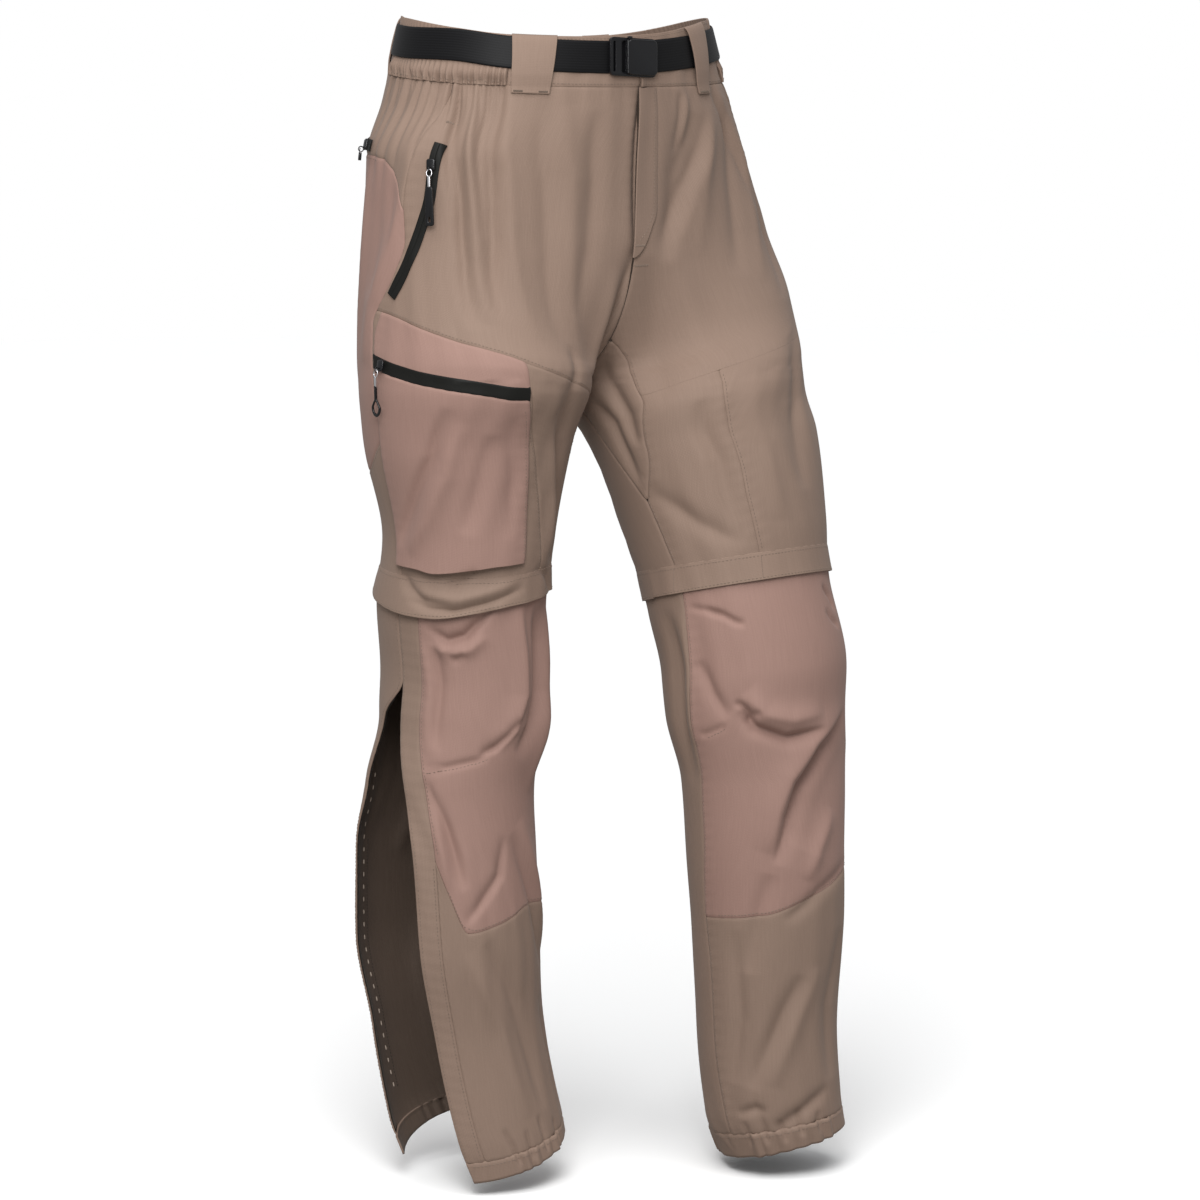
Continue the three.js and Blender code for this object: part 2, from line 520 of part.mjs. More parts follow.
// Hips and thighs of each side
const BACK_COLUMNS = 11;
for (const side of [RIGHT, LEFT]) {
  const name = sideName(side);
  const thighSeam = seam(THIGH_SEAM[name]);
  const sideSeam = seam(SIDE_SEAM);
  const yoke = across(YOKE_SEAM[name]);
  const seatTop = across(SEAT_TOP);
  const seatBottom = across(SEAT_BOTTOM);
  const bandEdge = level(WAIST_SEAM + 0.5);
  const thighEnd = level(ZIP_OFF_TOP);
  const thighStops = evenStops(side === RIGHT ? 287 : 296, ZIP_OFF_TOP, 10);
  const backSeams = [sideSeam, behind(gussetBack)];
  addPanel(`hip_front_${name}`, SHELL_CLOTH, side, {
    seams: [gussetFront, thighSeam, sideSeam],
    counts: [6, 5],
    top: bandEdge,
    bottom: yoke,
    firstStops: FRONT_STOPS.hip,
    lastStops: SIDE_STOPS.hip,
  });
  addPanel(`yoke_back_${name}`, SHELL_CLOTH, side, {
    seams: backSeams,
    counts: [BACK_COLUMNS],
    top: bandEdge,
    bottom: seatTop,
    firstStops: SIDE_STOPS.yoke,
    lastStops: [36, 50, 64, 78, 92, 105],
  });
  addPanel(`seat_${name}`, PANEL_CLOTH, side, {
    seams: backSeams,
    counts: [BACK_COLUMNS],
    top: seatTop,
    bottom: seatBottom,
    firstStops: SIDE_STOPS.seat,
    lastStops: [105, 127, 149, 171, 193, 215, 237, 259, 280, 300],
  });
  addPanel(`gusset_${name}`, SHELL_CLOTH, side, {
    seams: [gussetBack, gussetFront],
    counts: [2],
    top: level(241),
    bottom: level(403),
    firstStops: BACK_STOPS.gusset,
    lastStops: FRONT_STOPS.gusset,
  });
  addPanel(`thigh_front_${name}`, SHELL_CLOTH, side, {
    seams: [gussetFront, thighSeam],
    counts: [6],
    top: yoke,
    bottom: thighEnd,
    firstStops: FRONT_STOPS.thigh,
    lastStops: thighStops,
  });
  addPanel(`thigh_side_${name}`, SHELL_CLOTH, side, {
    seams: [thighSeam, sideSeam],
    counts: [5],
    top: yoke,
    bottom: thighEnd,
    firstStops: thighStops,
    lastStops: SIDE_STOPS.thigh,
  });
  addPanel(`thigh_back_${name}`, SHELL_CLOTH, side, {
    seams: backSeams,
    counts: [BACK_COLUMNS],
    top: seatBottom,
    bottom: thighEnd,
    firstStops: SIDE_STOPS.thighBack,
    lastStops: BACK_STOPS.thigh,
  });
}

// Fly: the left front's placket laps the centre front down to the crotch seam
const FLY_EDGE = -0.006;
const FLY_STITCH = 0.036;
addSewn('fly_placket', SHELL_CLOTH, 3, 6, (a, b) => {
  const around = mix(FLY_EDGE, FLY_STITCH, a);
  const end = mix(182, 148, a ** 2);
  return { side: LEFT, around, depth: mix(39, end, b), under: 0.9, over: 0.9 + CLOTH };
});

// Zip-off joint: a ring zip round each thigh under a flap of shell cloth
const FLAP_COLUMNS = 36;
for (const side of [RIGHT, LEFT]) {
  const name = sideName(side);
  addSewn(`zip_off_ring_${name}`, ZIP_TAPE, 24, 1, (a, b) => (
    { side, around: a, depth: mix(ZIP_OFF_TOP, ZIP_OFF_BOTTOM, b), under: -CLOTH, over: 0 }), true);
  addSewn(`zip_off_flap_${name}`, SHELL_CLOTH, FLAP_COLUMNS, 4, (a, b) => {
    const depth = mix(FLAP_TOP, curveThrough(FLAP_BOTTOM[name], a), b);
    const slump = side === RIGHT ? 2.5 * Math.exp(-(((a - 0.38) / 0.1) ** 2)) : 0;
    const under = 0.9 + (2.8 + slump) * Math.sin((b * Math.PI) / 2);
    return { side, around: a, depth, under, over: under + CLOTH };
  }, true);
}

// Lower legs: knee, shin, side strip and back of each
const TAPE_REACH = 0.03;
const SLIT_EDGE = 0.4995;
const ZIP_REACH = 0.011;
const zipReach = (depth) => ZIP_REACH * THREE.MathUtils.clamp((depth - 516) / 31, 0, 1);
for (const side of [RIGHT, LEFT]) {
  const name = sideName(side);
  const stripSeam = seam(STRIP_SEAM);
  const frontOuter = side === RIGHT ? () => SLIT_EDGE : (depth) => 0.5 - zipReach(depth);
  const backOuter = side === RIGHT ? () => 0.5 : (depth) => 0.5 + zipReach(depth);
  const kneeTop = level(ZIP_OFF_BOTTOM);
  const kneeBottom = across(KNEE_BOTTOM[name]);
  const hemTop = level(HEM_SEAM);
  const outerStops = [...OUTER_STOPS.knee, ...OUTER_STOPS.shin.slice(1)];
  addPanel(`knee_${name}`, PANEL_CLOTH, side, {
    seams: [inseam, stripSeam],
    counts: [10],
    top: kneeTop,
    bottom: kneeBottom,
    firstStops: INNER_STOPS.knee,
    lastStops: OUTER_STOPS.knee,
  });
  addPanel(`shin_${name}`, SHELL_CLOTH, side, {
    seams: [inseam, stripSeam],
    counts: [10],
    top: kneeBottom,
    bottom: hemTop,
    firstStops: INNER_STOPS.shin,
    lastStops: OUTER_STOPS.shin,
  });
  addPanel(`side_strip_${name}`, SHELL_CLOTH, side, {
    seams: [stripSeam, (depth) => frontOuter(depth) - TAPE_REACH, frontOuter],
    counts: [1, 1],
    top: kneeTop,
    bottom: hemTop,
    firstStops: outerStops,
    lastStops: outerStops,
  });
  addPanel(`lower_back_${name}`, SHELL_CLOTH, side, {
    seams: [backOuter, (depth) => backOuter(depth) + TAPE_REACH, behind(inseam)],
    counts: [1, 9],
    top: kneeTop,
    bottom: hemTop,
    firstStops: outerStops,
    lastStops: [...INNER_STOPS.knee, ...INNER_STOPS.shin.slice(1)],
  });
}

// Hems: narrow turned-up bands, drawn in by elastic on the outer front and on the back
function gather(a, waves, from, to) {
  const inside = THREE.MathUtils.smoothstep(a, from - 0.02, from) - THREE.MathUtils.smoothstep(a, to, to + 0.02);
  return HEM_GATHER * inside * (Math.round(a * waves * 2) % 2);
}

function hemSpot(side, around, b, wave) {
  const depth = mix(HEM_SEAM + 0.5, HEM_END[sideName(side)], b);
  return { side, around, depth, under: wave - CLOTH, over: wave };
}

addSewn('hem_front_right', SHELL_CLOTH, 30, 1, (a, b) => (
  hemSpot(RIGHT, mix(inseam(980), 0.4995, a), b, gather(a, 15, 0.4, 0.8))));
addSewn('hem_back_right', SHELL_CLOTH, 28, 1, (a, b) => (
  hemSpot(RIGHT, mix(0.5, 1 + inseam(980), a), b, gather(a, 14, 0.3, 0.8))));
addSewn('hem_left', SHELL_CLOTH, 56, 1, (a, b) => (
  hemSpot(LEFT, a, b, gather(a, 28, 0.06, 0.28) + gather(a, 28, 0.6, 0.9))), true);

// Zips that lie on a panel: a flat tape along a line, as wide as named
function tapeSpot(side, path, width, lift, thickness, a, b) {
  const at = b * (path.length - 1);
  const k = Math.min(Math.floor(at), path.length - 2);
  const middle = [0, 1].map((i) => mix(path[k][i], path[k + 1][i], at - k));
  const before = path[Math.max(Math.round(at) - 1, 0)];
  const after = path[Math.min(Math.round(at) + 1, path.length - 1)];
  const perTurn = formPoint(side, middle[0] + 0.01, middle[1])
    .distanceTo(formPoint(side, middle[0] - 0.01, middle[1])) / 0.02;
  const runX = (after[0] - before[0]) * perTurn;
  const runY = after[1] - before[1];
  const reach = ((a - 0.5) * width) / Math.hypot(runX, runY);
  return {
    side,
    around: middle[0] + (reach * runY) / perTurn,
    depth: middle[1] - reach * runX,
    under: lift,
    over: lift + thickness,
  };
}

const TAPE_THICKNESS = 1;
const TAPE_LIFT = 1;
const HAND_ZIP = {
  right: [[0.371, 96], [0.382, 120], [0.392, 145], [0.408, 165], [0.427, 184], [0.458, 207],
    [0.475, 218], [0.492, 229]],
  left: [[0.401, 96], [0.411, 120], [0.419, 145], [0.432, 165], [0.446, 184], [0.468, 207],
    [0.482, 218], [0.496, 229]],
};
const BACK_ZIP = [[0.585, 101], [0.645, 100], [0.705, 99], [0.765, 98], [0.815, 98]];

for (const side of [RIGHT, LEFT]) {
  const path = HAND_ZIP[sideName(side)];
  addSewn(`hand_zip_${sideName(side)}`, ZIP_TAPE, 2, path.length - 1, (a, b) => (
    tapeSpot(side, path, ZIP_WIDTH, TAPE_LIFT, TAPE_THICKNESS, a, b)));
}
addSewn('back_zip_right', ZIP_TAPE, 2, BACK_ZIP.length - 1, (a, b) => (
  tapeSpot(RIGHT, BACK_ZIP, ZIP_WIDTH, TAPE_LIFT, TAPE_THICKNESS, a, b)));

// Cargo pocket on the right thigh: a top piece, its zip and a bag that hangs loose at the bottom
const CARGO_LIFT = 1.4;
const CARGO_COLUMNS = 8;
const cargoZip = across(CARGO_ZIP);
const cargoSides = [seam(CARGO_FRONT), (depth) => curveThrough(SIDE_SEAM, depth) - 0.012];

function addCargo(name, material, top, bottom, firstStops, lastStops, lift) {
  const piece = { seams: cargoSides, counts: [CARGO_COLUMNS], top, bottom, firstStops, lastStops };
  addPanel(name, material, RIGHT, piece, lift);
}

addCargo('cargo_top_right', PANEL_CLOTH, across(YOKE_SEAM.right),
  (around) => cargoZip(around) - ZIP_WIDTH / 2, evenStops(286, 305.5, 2), evenStops(254, 280.5, 2),
  () => [CARGO_LIFT, CARGO_LIFT + CLOTH]);
addCargo('cargo_zip_right', ZIP_TAPE, (around) => cargoZip(around) - ZIP_WIDTH / 2,
  (around) => cargoZip(around) + ZIP_WIDTH / 2, evenStops(305.5, 316.5, 2), evenStops(280.5, 291.5, 2),
  () => [CARGO_LIFT, CARGO_LIFT + TAPE_THICKNESS]);
addCargo('cargo_bag_right', PANEL_CLOTH, (around) => cargoZip(around) + ZIP_WIDTH / 2,
  level(CARGO_BOTTOM), evenStops(316.5, CARGO_BOTTOM, 8), evenStops(291.5, CARGO_BOTTOM, 8), (a, b) => {
    const belly = 0.6 + 4.5 * Math.sin(Math.PI * a) * Math.sin((Math.PI * b) / 2) + 1.5 * b;
    return [CARGO_LIFT + belly, CARGO_LIFT + belly + CLOTH];
  });

// Side zips of the lower legs: open on the right, with a tape inside each edge, closed on the left
const TAPE_STOPS = [575, 603, 631, 660, 689, 717, 760, 803, 846, 889, 932, 972];
const LEFT_ZIP_STOPS = [524, 547, 575, 603, 631, 660, 689, 717, 760, 803, 846, 889, 932, 952, 954, 964, 966,
  975];
const INNER_TAPE = -CLOTH - 0.7;

function addTape(name, from, to) {
  addSewn(name, ZIP_TAPE, 1, TAPE_STOPS.length - 1, (a, b) => {
    const depth = TAPE_STOPS[Math.round(b * (TAPE_STOPS.length - 1))];
    return { side: RIGHT, around: mix(from, to, a), depth, under: INNER_TAPE - TAPE_THICKNESS, over: INNER_TAPE };
  });
}
addTape('side_zip_front_right', SLIT_EDGE - TAPE_REACH, SLIT_EDGE);
addTape('side_zip_back_right', 0.5, 0.5 + TAPE_REACH);
addSewn('side_zip_left', ZIP_TAPE, 2, LEFT_ZIP_STOPS.length - 1, (a, b) => {
  const depth = LEFT_ZIP_STOPS[Math.round(b * (LEFT_ZIP_STOPS.length - 1))];
  const slider = depth > 953 && depth < 965 && a === 0.5 ? 3 : 0;
  const reach = zipReach(depth) * (depth > 940 && depth < 970 ? 0.9 : 1);
  return { side: LEFT, around: 0.5 + (2 * a - 1) * reach, depth, under: -CLOTH, over: slider };
});

// Hard pieces stand on the cloth in their own small frame: x around, y up the cloth, z out of it
function seatFrame(side, around, depth, lift) {
  const out = formNormal(side, around, depth);
  const up = formPoint(side, around, depth - 3).sub(formPoint(side, around, depth + 3)).normalize();
  const along = up.clone().cross(out).normalize();
  const turned = new THREE.Matrix4().makeBasis(along, out.clone().cross(along), out);
  return turned.setPosition(clothPoint(side, around, depth, lift));
}

// A frame for a pull that hangs down the cloth: y up along it, z out of it, x level
function hangFrame(side, around, depth, lift, length) {
  const pin = clothPoint(side, around, depth, lift);
  const tip = clothPoint(side, around, depth + length, lift);
  const up = pin.clone().sub(tip).normalize();
  const out = formNormal(side, around, depth + length / 2);
  const along = up.clone().cross(out).normalize();
  return new THREE.Matrix4().makeBasis(along, up, along.clone().cross(up)).setPosition(pin);
}

function placedPlate(name, material, outline, thickness, frame, bevel = 0) {
  const geometry = new THREE.ExtrudeGeometry(outline, {
    depth: thickness - 2 * bevel,
    bevelEnabled: bevel > 0,
    bevelThickness: bevel,
    bevelSize: bevel,
    bevelSegments: 1,
    bevelOffset: -bevel,
    curveSegments: 4,
  });
  geometry.translate(0, 0, bevel);
  geometry.applyMatrix4(frame);
  return addMesh(name, geometry, material);
}

function roundedBox(width, height, radius) {
  const shape = new THREE.Shape();
  const x = width / 2;
  const y = height / 2;
  shape.moveTo(-x + radius, -y);
  shape.lineTo(x - radius, -y);
  shape.absarc(x - radius, -y + radius, radius, -Math.PI / 2, 0);
  shape.lineTo(x, y - radius);
  shape.absarc(x - radius, y - radius, radius, 0, Math.PI / 2);
  shape.lineTo(-x + radius, y);
  shape.absarc(-x + radius, y - radius, radius, Math.PI / 2, Math.PI);
  shape.lineTo(-x, -y + radius);
  shape.absarc(-x + radius, -y + radius, radius, Math.PI, 1.5 * Math.PI);
  return shape;
}

// Buckle: a moulded frame on the belt with a clasp plate clipped on it
const BUCKLE = { width: 49, height: 33, radius: 4, thickness: 3, around: 0.024, depth: 9.5 };
const CLASP = { width: 32, height: 30, radius: 5, thickness: 3 };
const SLOT = { width: 6, height: 25, radius: 1.5 };
const buckleSeat = seatFrame(RIGHT, BUCKLE.around, BUCKLE.depth, BELT_OVER + 0.4);
const buckleOutline = roundedBox(BUCKLE.width, BUCKLE.height, BUCKLE.radius);
const slotPath = roundedBox(SLOT.width, SLOT.height, SLOT.radius);
const slotPoints = slotPath.getPoints(3).map((point) => new THREE.Vector2(point.x - 17, point.y));
buckleOutline.holes.push(new THREE.Path(slotPoints.reverse()));
placedPlate('buckle_frame', MOULDED, buckleOutline, BUCKLE.thickness, buckleSeat, 0.6);
const claspSeat = buckleSeat.clone().multiply(
  new THREE.Matrix4().makeTranslation(7.5, 0, BUCKLE.thickness + SEAM_GAP));
placedPlate('buckle_clasp', MOULDED, roundedBox(CLASP.width, CLASP.height, CLASP.radius), CLASP.thickness,
  claspSeat, 0.8);

// Zip sliders and the pull tab that hangs from each
const SLIDER = { width: 8, height: 10, radius: 2, thickness: 3 };
const PULL_THICKNESS = 2.4;
const PULL_GAP = 0.8;
const PULL_COLUMNS = ['name', 'side', 'around', 'depth', 'lift', 'length', 'neck', 'width'];
const PULL_ROWS = [
  ['hand_right', RIGHT, 0.384, 115, TAPE_LIFT + TAPE_THICKNESS, 48, 16, 6.5],
  ['hand_left', LEFT, 0.449, 184, TAPE_LIFT + TAPE_THICKNESS, 48, 16, 6.5],
  ['cargo_right', RIGHT, 0.5, 289, CARGO_LIFT + TAPE_THICKNESS, 40, 14, 6],
  ['back_right', RIGHT, 0.597, 101, TAPE_LIFT + TAPE_THICKNESS, 18, 6, 6],
];
const PULLS = PULL_ROWS.map((row) => Object.fromEntries(PULL_COLUMNS.map((name, i) => [name, row[i]])));

function pullOutline(length, neck, width) {
  const shape = new THREE.Shape();
  const narrow = 1.9;
  const half = width / 2;
  shape.moveTo(-narrow, 1.2);
  shape.lineTo(-narrow, -neck);
  shape.lineTo(-half, -neck - 3);
  shape.lineTo(-half, -length + half);
  shape.absarc(0, -length + half, half, Math.PI, 2 * Math.PI);
  shape.lineTo(half, -neck - 3);
  shape.lineTo(narrow, -neck);
  shape.lineTo(narrow, 1.2);
  return shape;
}

for (const pull of PULLS) {
  const sliderSeat = seatFrame(pull.side, pull.around, pull.depth, pull.lift + SEAM_GAP);
  placedPlate(`slider_${pull.name}`, ZIP_METAL, roundedBox(SLIDER.width, SLIDER.height, SLIDER.radius),
    SLIDER.thickness, sliderSeat);
  const backLift = pull.lift + SEAM_GAP + SLIDER.thickness + PULL_GAP;
  const hang = hangFrame(pull.side, pull.around, pull.depth + 4, backLift, pull.length);
  placedPlate(`pull_${pull.name}`, MOULDED, pullOutline(pull.length, pull.neck, pull.width), PULL_THICKNESS,
    hang);
}

export default trousers;
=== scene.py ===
import json
import math

import bpy
import numpy as np
from mathutils import Matrix, Vector
from mathutils.bvhtree import BVHTree


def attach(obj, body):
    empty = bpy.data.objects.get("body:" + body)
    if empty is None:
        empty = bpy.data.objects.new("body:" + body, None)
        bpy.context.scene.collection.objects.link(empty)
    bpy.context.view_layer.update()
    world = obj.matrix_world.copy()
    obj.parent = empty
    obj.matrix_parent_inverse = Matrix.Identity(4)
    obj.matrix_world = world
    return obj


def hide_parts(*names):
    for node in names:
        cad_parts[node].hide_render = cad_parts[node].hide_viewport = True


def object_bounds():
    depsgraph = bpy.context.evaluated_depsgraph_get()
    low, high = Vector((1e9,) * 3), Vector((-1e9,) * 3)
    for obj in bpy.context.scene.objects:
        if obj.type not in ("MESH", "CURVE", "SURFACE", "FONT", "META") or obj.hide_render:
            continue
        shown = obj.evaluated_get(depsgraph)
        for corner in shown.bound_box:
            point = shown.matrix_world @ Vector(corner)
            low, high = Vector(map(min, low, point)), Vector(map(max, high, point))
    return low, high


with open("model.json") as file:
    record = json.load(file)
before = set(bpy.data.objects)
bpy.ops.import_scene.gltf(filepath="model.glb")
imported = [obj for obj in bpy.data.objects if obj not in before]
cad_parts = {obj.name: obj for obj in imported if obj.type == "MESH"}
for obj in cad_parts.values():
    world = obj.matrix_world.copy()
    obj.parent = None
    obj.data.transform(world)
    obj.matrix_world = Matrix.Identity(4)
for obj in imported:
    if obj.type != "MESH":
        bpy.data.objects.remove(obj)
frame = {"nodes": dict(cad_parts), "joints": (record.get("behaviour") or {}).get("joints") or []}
CAD_BOX = [list(corner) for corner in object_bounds()]
bpy.ops.object.select_all(action="DESELECT")

# The view. A long lens stands at waist height, off the wearer's right front, and looks a little down.
# The trousers hang in front of it over a white studio floor under large soft lamps.
VIEW_AZIMUTH = math.radians(-40)
VIEW_RIGHT = Vector((math.cos(VIEW_AZIMUTH), math.sin(VIEW_AZIMUTH), 0))
VIEW_BACK = Vector((math.sin(VIEW_AZIMUTH), -math.cos(VIEW_AZIMUTH), 0))
VIEW_SHIFT = 0.0406
CAMERA_DISTANCE = 3.2
CAMERA_HEIGHT = -0.2
AIM_HEIGHT = -0.503
bpy.ops.object.camera_add(location=VIEW_RIGHT * VIEW_SHIFT + VIEW_BACK * CAMERA_DISTANCE
                          + Vector((0, 0, CAMERA_HEIGHT)))
camera = bpy.context.object
camera.name = "camera"
aim = VIEW_RIGHT * VIEW_SHIFT + Vector((0, 0, AIM_HEIGHT))
camera.rotation_euler = (aim - camera.location).to_track_quat("-Z", "Y").to_euler()
camera.data.lens = 106.9
camera.data.sensor_width = 36
bpy.context.scene.camera = camera
bpy.context.scene.view_settings.view_transform = "Standard"

# The key is one broad far lamp high over the camera, so the floor is evenly white; its strength and
# spread are the numbers of a sun lamp. A soft box in front lights the hips more than the hems.
KEY_TOWARDS = VIEW_RIGHT * -0.05 + VIEW_BACK * 0.46 + Vector((0, 0, 0.88))
KEY_STRENGTH = 2.0
KEY_SPREAD = 50
SOFT_BOX_PLACE = VIEW_RIGHT * -0.1 + VIEW_BACK * 1.3 + Vector((0, 0, 0.25))
SOFT_BOX_SIZE = 0.6
SOFT_BOX_POWER = 14
bpy.ops.object.light_add(type="SUN", location=KEY_TOWARDS * 3)
key_lamp = bpy.context.object
key_lamp.name = "key_lamp"
key_lamp.data.energy = KEY_STRENGTH
key_lamp.data.angle = math.radians(KEY_SPREAD)
key_lamp.rotation_euler = KEY_TOWARDS.to_track_quat("Z", "Y").to_euler()
bpy.ops.object.light_add(type="AREA", location=SOFT_BOX_PLACE)
soft_box = bpy.context.object
soft_box.name = "soft_box"
soft_box.data.size = SOFT_BOX_SIZE
soft_box.data.energy = SOFT_BOX_POWER
soft_box.rotation_euler = (SOFT_BOX_PLACE - Vector((0, 0, -0.2))).to_track_quat("Z", "Y").to_euler()


def add_node(material, kind, settings=None, sockets=None, links=None):
    """Adds a node with its settings, its sockets' values and its links."""
    made = material.node_tree.nodes.new(kind)
    for name, value in (settings or {}).items():
        setattr(made, name, value)
    for name, value in (sockets or {}).items():
        made.inputs[name].default_value = value
    for name, source in (links or {}).items():
        material.node_tree.links.new(source, made.inputs[name])
    return made


def linear(hex_colour):
    """An sRGB hex colour as the linear colour that a shader takes."""
    parts = [int(hex_colour[i:i + 2], 16) / 255 for i in (1, 3, 5)]
    return tuple(c / 12.92 if c <= 0.04045 else ((c + 0.055) / 1.055) ** 2.4 for c in parts) + (1.0,)


def blank_material(name):
    """A material with nothing but its output."""
    material = bpy.data.materials.new(name)
    material.use_nodes = True
    material.node_tree.nodes.clear()
    return material


# The air: a pale studio that lights the cloth weakly from all round and looks white behind it
world = bpy.data.worlds.new("studio_air")
world.use_nodes = True
world.node_tree.nodes.clear()
soft_air = add_node(world, "ShaderNodeBackground", sockets={"Color": linear("#f4f5f7"), "Strength": 0.55})
white_air = add_node(world, "ShaderNodeBackground", sockets={"Color": linear("#ffffff"), "Strength": 1.0})
seen = add_node(world, "ShaderNodeLightPath")
air = add_node(world, "ShaderNodeMixShader", links={0: seen.outputs["Is Camera Ray"], 1: soft_air.outputs[0],
                                                   2: white_air.outputs[0]})
add_node(world, "ShaderNodeOutputWorld", links={"Surface": air.outputs[0]})
bpy.context.scene.world = world

# Painted studio floor: matt white emulsion, so it shows only a soft contact shadow. It sends as
# little light up under the cloth as a mid-grey floor does.
floor_paint = blank_material("white_studio_floor")
floor_mottle = add_node(floor_paint, "ShaderNodeTexNoise", sockets={"Scale": 3.0, "Detail": 3.0})
floor_tone = add_node(floor_paint, "ShaderNodeMix", {"data_type": "RGBA"},
                      {6: linear("#fbfbfa"), 7: linear("#fefefe")}, {0: floor_mottle.outputs["Fac"]})
floor_shader = add_node(floor_paint, "ShaderNodeBsdfPrincipled", sockets={"Roughness": 0.9},
                        links={"Base Color": floor_tone.outputs[2]})
floor_bounce = add_node(floor_paint, "ShaderNodeBsdfPrincipled",
                        sockets={"Base Color": linear("#a3a19d"), "Roughness": 0.9})
floor_seen = add_node(floor_paint, "ShaderNodeLightPath")
floor_mix = add_node(floor_paint, "ShaderNodeMixShader",
                     links={0: floor_seen.outputs["Is Camera Ray"], 1: floor_bounce.outputs[0],
                            2: floor_shader.outputs[0]})
add_node(floor_paint, "ShaderNodeOutputMaterial", links={"Surface": floor_mix.outputs[0]})
bpy.ops.mesh.primitive_plane_add(size=60, location=(0, 0, CAD_BOX[0][2] - 0.012))
floor = bpy.context.object
floor.name = "studio_floor"
floor.data.materials.append(floor_paint)

# The garment's form. Each side of the hips is half an oval from the centre front to the centre
# back, and each leg an oval ring; a place on the cloth is how far around its side it lies (0 at the
# centre front or inseam, 0.5 at the outer side, 1 at the back) and how far below the belt.
MM = 0.001
RIGHT = -1
LEFT = 1
CROTCH_START = 165
CROTCH_DEPTH = 300
SLIT_TOP = 547
SLIT_SIDES = (0.4999, 0.5)
HIP_GIRTH = 560
ROUNDING = 24
ROUNDING_STEPS = (-1, -0.5, 0, 0.5, 1)
ROUNDING_EDGE = 0.08
WORTH_ROUNDING = 0.02
WAY_ROUND_STEP = 0.012
WAY_DOWN_STEP = 5
SINK_START = {RIGHT: 0.64, LEFT: 0.32}
SINK_END = {RIGHT: 0.96, LEFT: 0.8}
HIP_COLUMNS = ("depth", "half_right", "half_left", "front", "back", "side_tilt", "front_tilt", "shift",
               "bulge_right", "bulge_left", "sink")
HIP_ROWS = [
    (-22, 148, 149, 116, 107, 0.06, 0.12, 0, 0, 0, 26),
    (20, 156, 166, 117, 118, 0.05, 0.12, 0, 0, 0, 22),
    (60, 166, 185, 115, 130, 0.02, 0.08, 2, 2, 3, 9),
    (110, 185, 202, 109, 142, 0, 0.05, 5, 5, 8, 0),
    (165, 187, 217, 104, 150, 0, 0.03, 8, 8, 18, 0),
    (230, 188, 233, 103, 152, 0, 0.01, 8, 8, 32, 0),
    (300, 186, 238, 103, 152, 0, 0, 8, 8, 32, 0),
]
LEG_COLUMNS = ("depth", "x", "y", "across", "front", "back", "turn", "side_tilt", "front_tilt",
               "front_edge", "back_edge")
LEG_ROWS = {
    RIGHT: [
        (300, -92, 0, 100, 121, 106, 0, 0, 0, 1, 1),
        (360, -91, 7, 91, 90, 98, 0, 0.02, 0, 1, 1),
        (440, -88, 11, 75, 78, 83, 0, 0.05, 0.03, 1, 1),
        (500, -91, 18, 72, 77, 85, 0, 0.12, 0.1, 1, 1),
        (562, -88, 19, 70, 77, 85, 0, 0.05, 0.05, 1, 1),
        (600, -88, 19, 73, 77, 84, 0, 0.03, 0.02, 1, 1.12),
        (660, -99, 26, 74, 76, 80, 0, 0.03, 0.02, 0.9, 1.18),
        (720, -101, 30, 80, 80, 84, 0, 0.03, 0.02, 0.83, 1.2),
        (800, -100, 29, 82, 82, 86, 0, 0.03, 0.02, 0.81, 1.2),
        (880, -93, 25, 77, 77, 78, 0, 0.08, 0.05, 0.79, 1.2),
        (960, -84, 13, 77, 77, 77, 0, 0.15, 0.08, 0.77, 1.2),
        (990, -79, 5, 73, 73, 73, 0, 0.27, 0.12, 0.75, 1.2),
    ],
    LEFT: [
        (300, 120, 0, 112, 160, 80, 0, 0.03, -0.05, 1, 1),
        (360, 123, -64, 101, 102, 103, -18, 0.04, -0.12, 1, 1),
        (440, 128, -88, 90, 91, 91, -14, 0.05, -0.16, 1, 1),
        (500, 130, -103, 83, 81, 79, -10, 0.05, -0.19, 1, 1),
        (562, 137, -116, 84, 82, 82, -9, 0.05, -0.1, 1, 1),
        (600, 137, -119, 82, 78, 81, -8, 0.05, -0.08, 1, 1),
        (660, 141, -126, 75, 72, 75, -5, 0.05, -0.06, 1, 1),
        (720, 141, -129, 72, 70, 74, 0, 0.05, -0.05, 1, 1),
        (800, 143, -131, 69, 67, 71, 0, 0.05, -0.05, 1, 1),
        (880, 142, -131, 64, 62, 66, 0, 0.06, -0.06, 1, 1),
        (960, 146, -135, 62, 60, 63, 0, 0.1, -0.1, 1, 1),
        (994, 154, -140, 57, 55, 59, 0, 0.18, -0.15, 1, 1),
    ],
}


def curve_through(points, at):
    """A soft curve through a table's points that never overshoots, read at any places."""
    table = np.asarray(points, float)
    xs, ys = table[:, 0], table[:, 1]
    slopes = np.diff(ys) / np.diff(xs)
    leans = np.empty(len(xs))
    leans[0], leans[-1] = slopes[0], slopes[-1]
    product = slopes[:-1] * slopes[1:]
    total = slopes[:-1] + slopes[1:]
    leans[1:-1] = np.where(product > 0, 2 * product / np.where(total == 0, 1, total), 0)
    at = np.asarray(at, float)
    k = np.clip(np.searchsorted(xs, at, side="right") - 1, 0, len(xs) - 2)
    span = xs[k + 1] - xs[k]
    t = (at - xs[k]) / span
    first = (1 + 2 * t) * (1 - t) ** 2 * ys[k] + t * (1 - t) ** 2 * span * leans[k]
    second = t * t * (3 - 2 * t) * ys[k + 1] + t * t * (t - 1) * span * leans[k + 1]
    return first + second


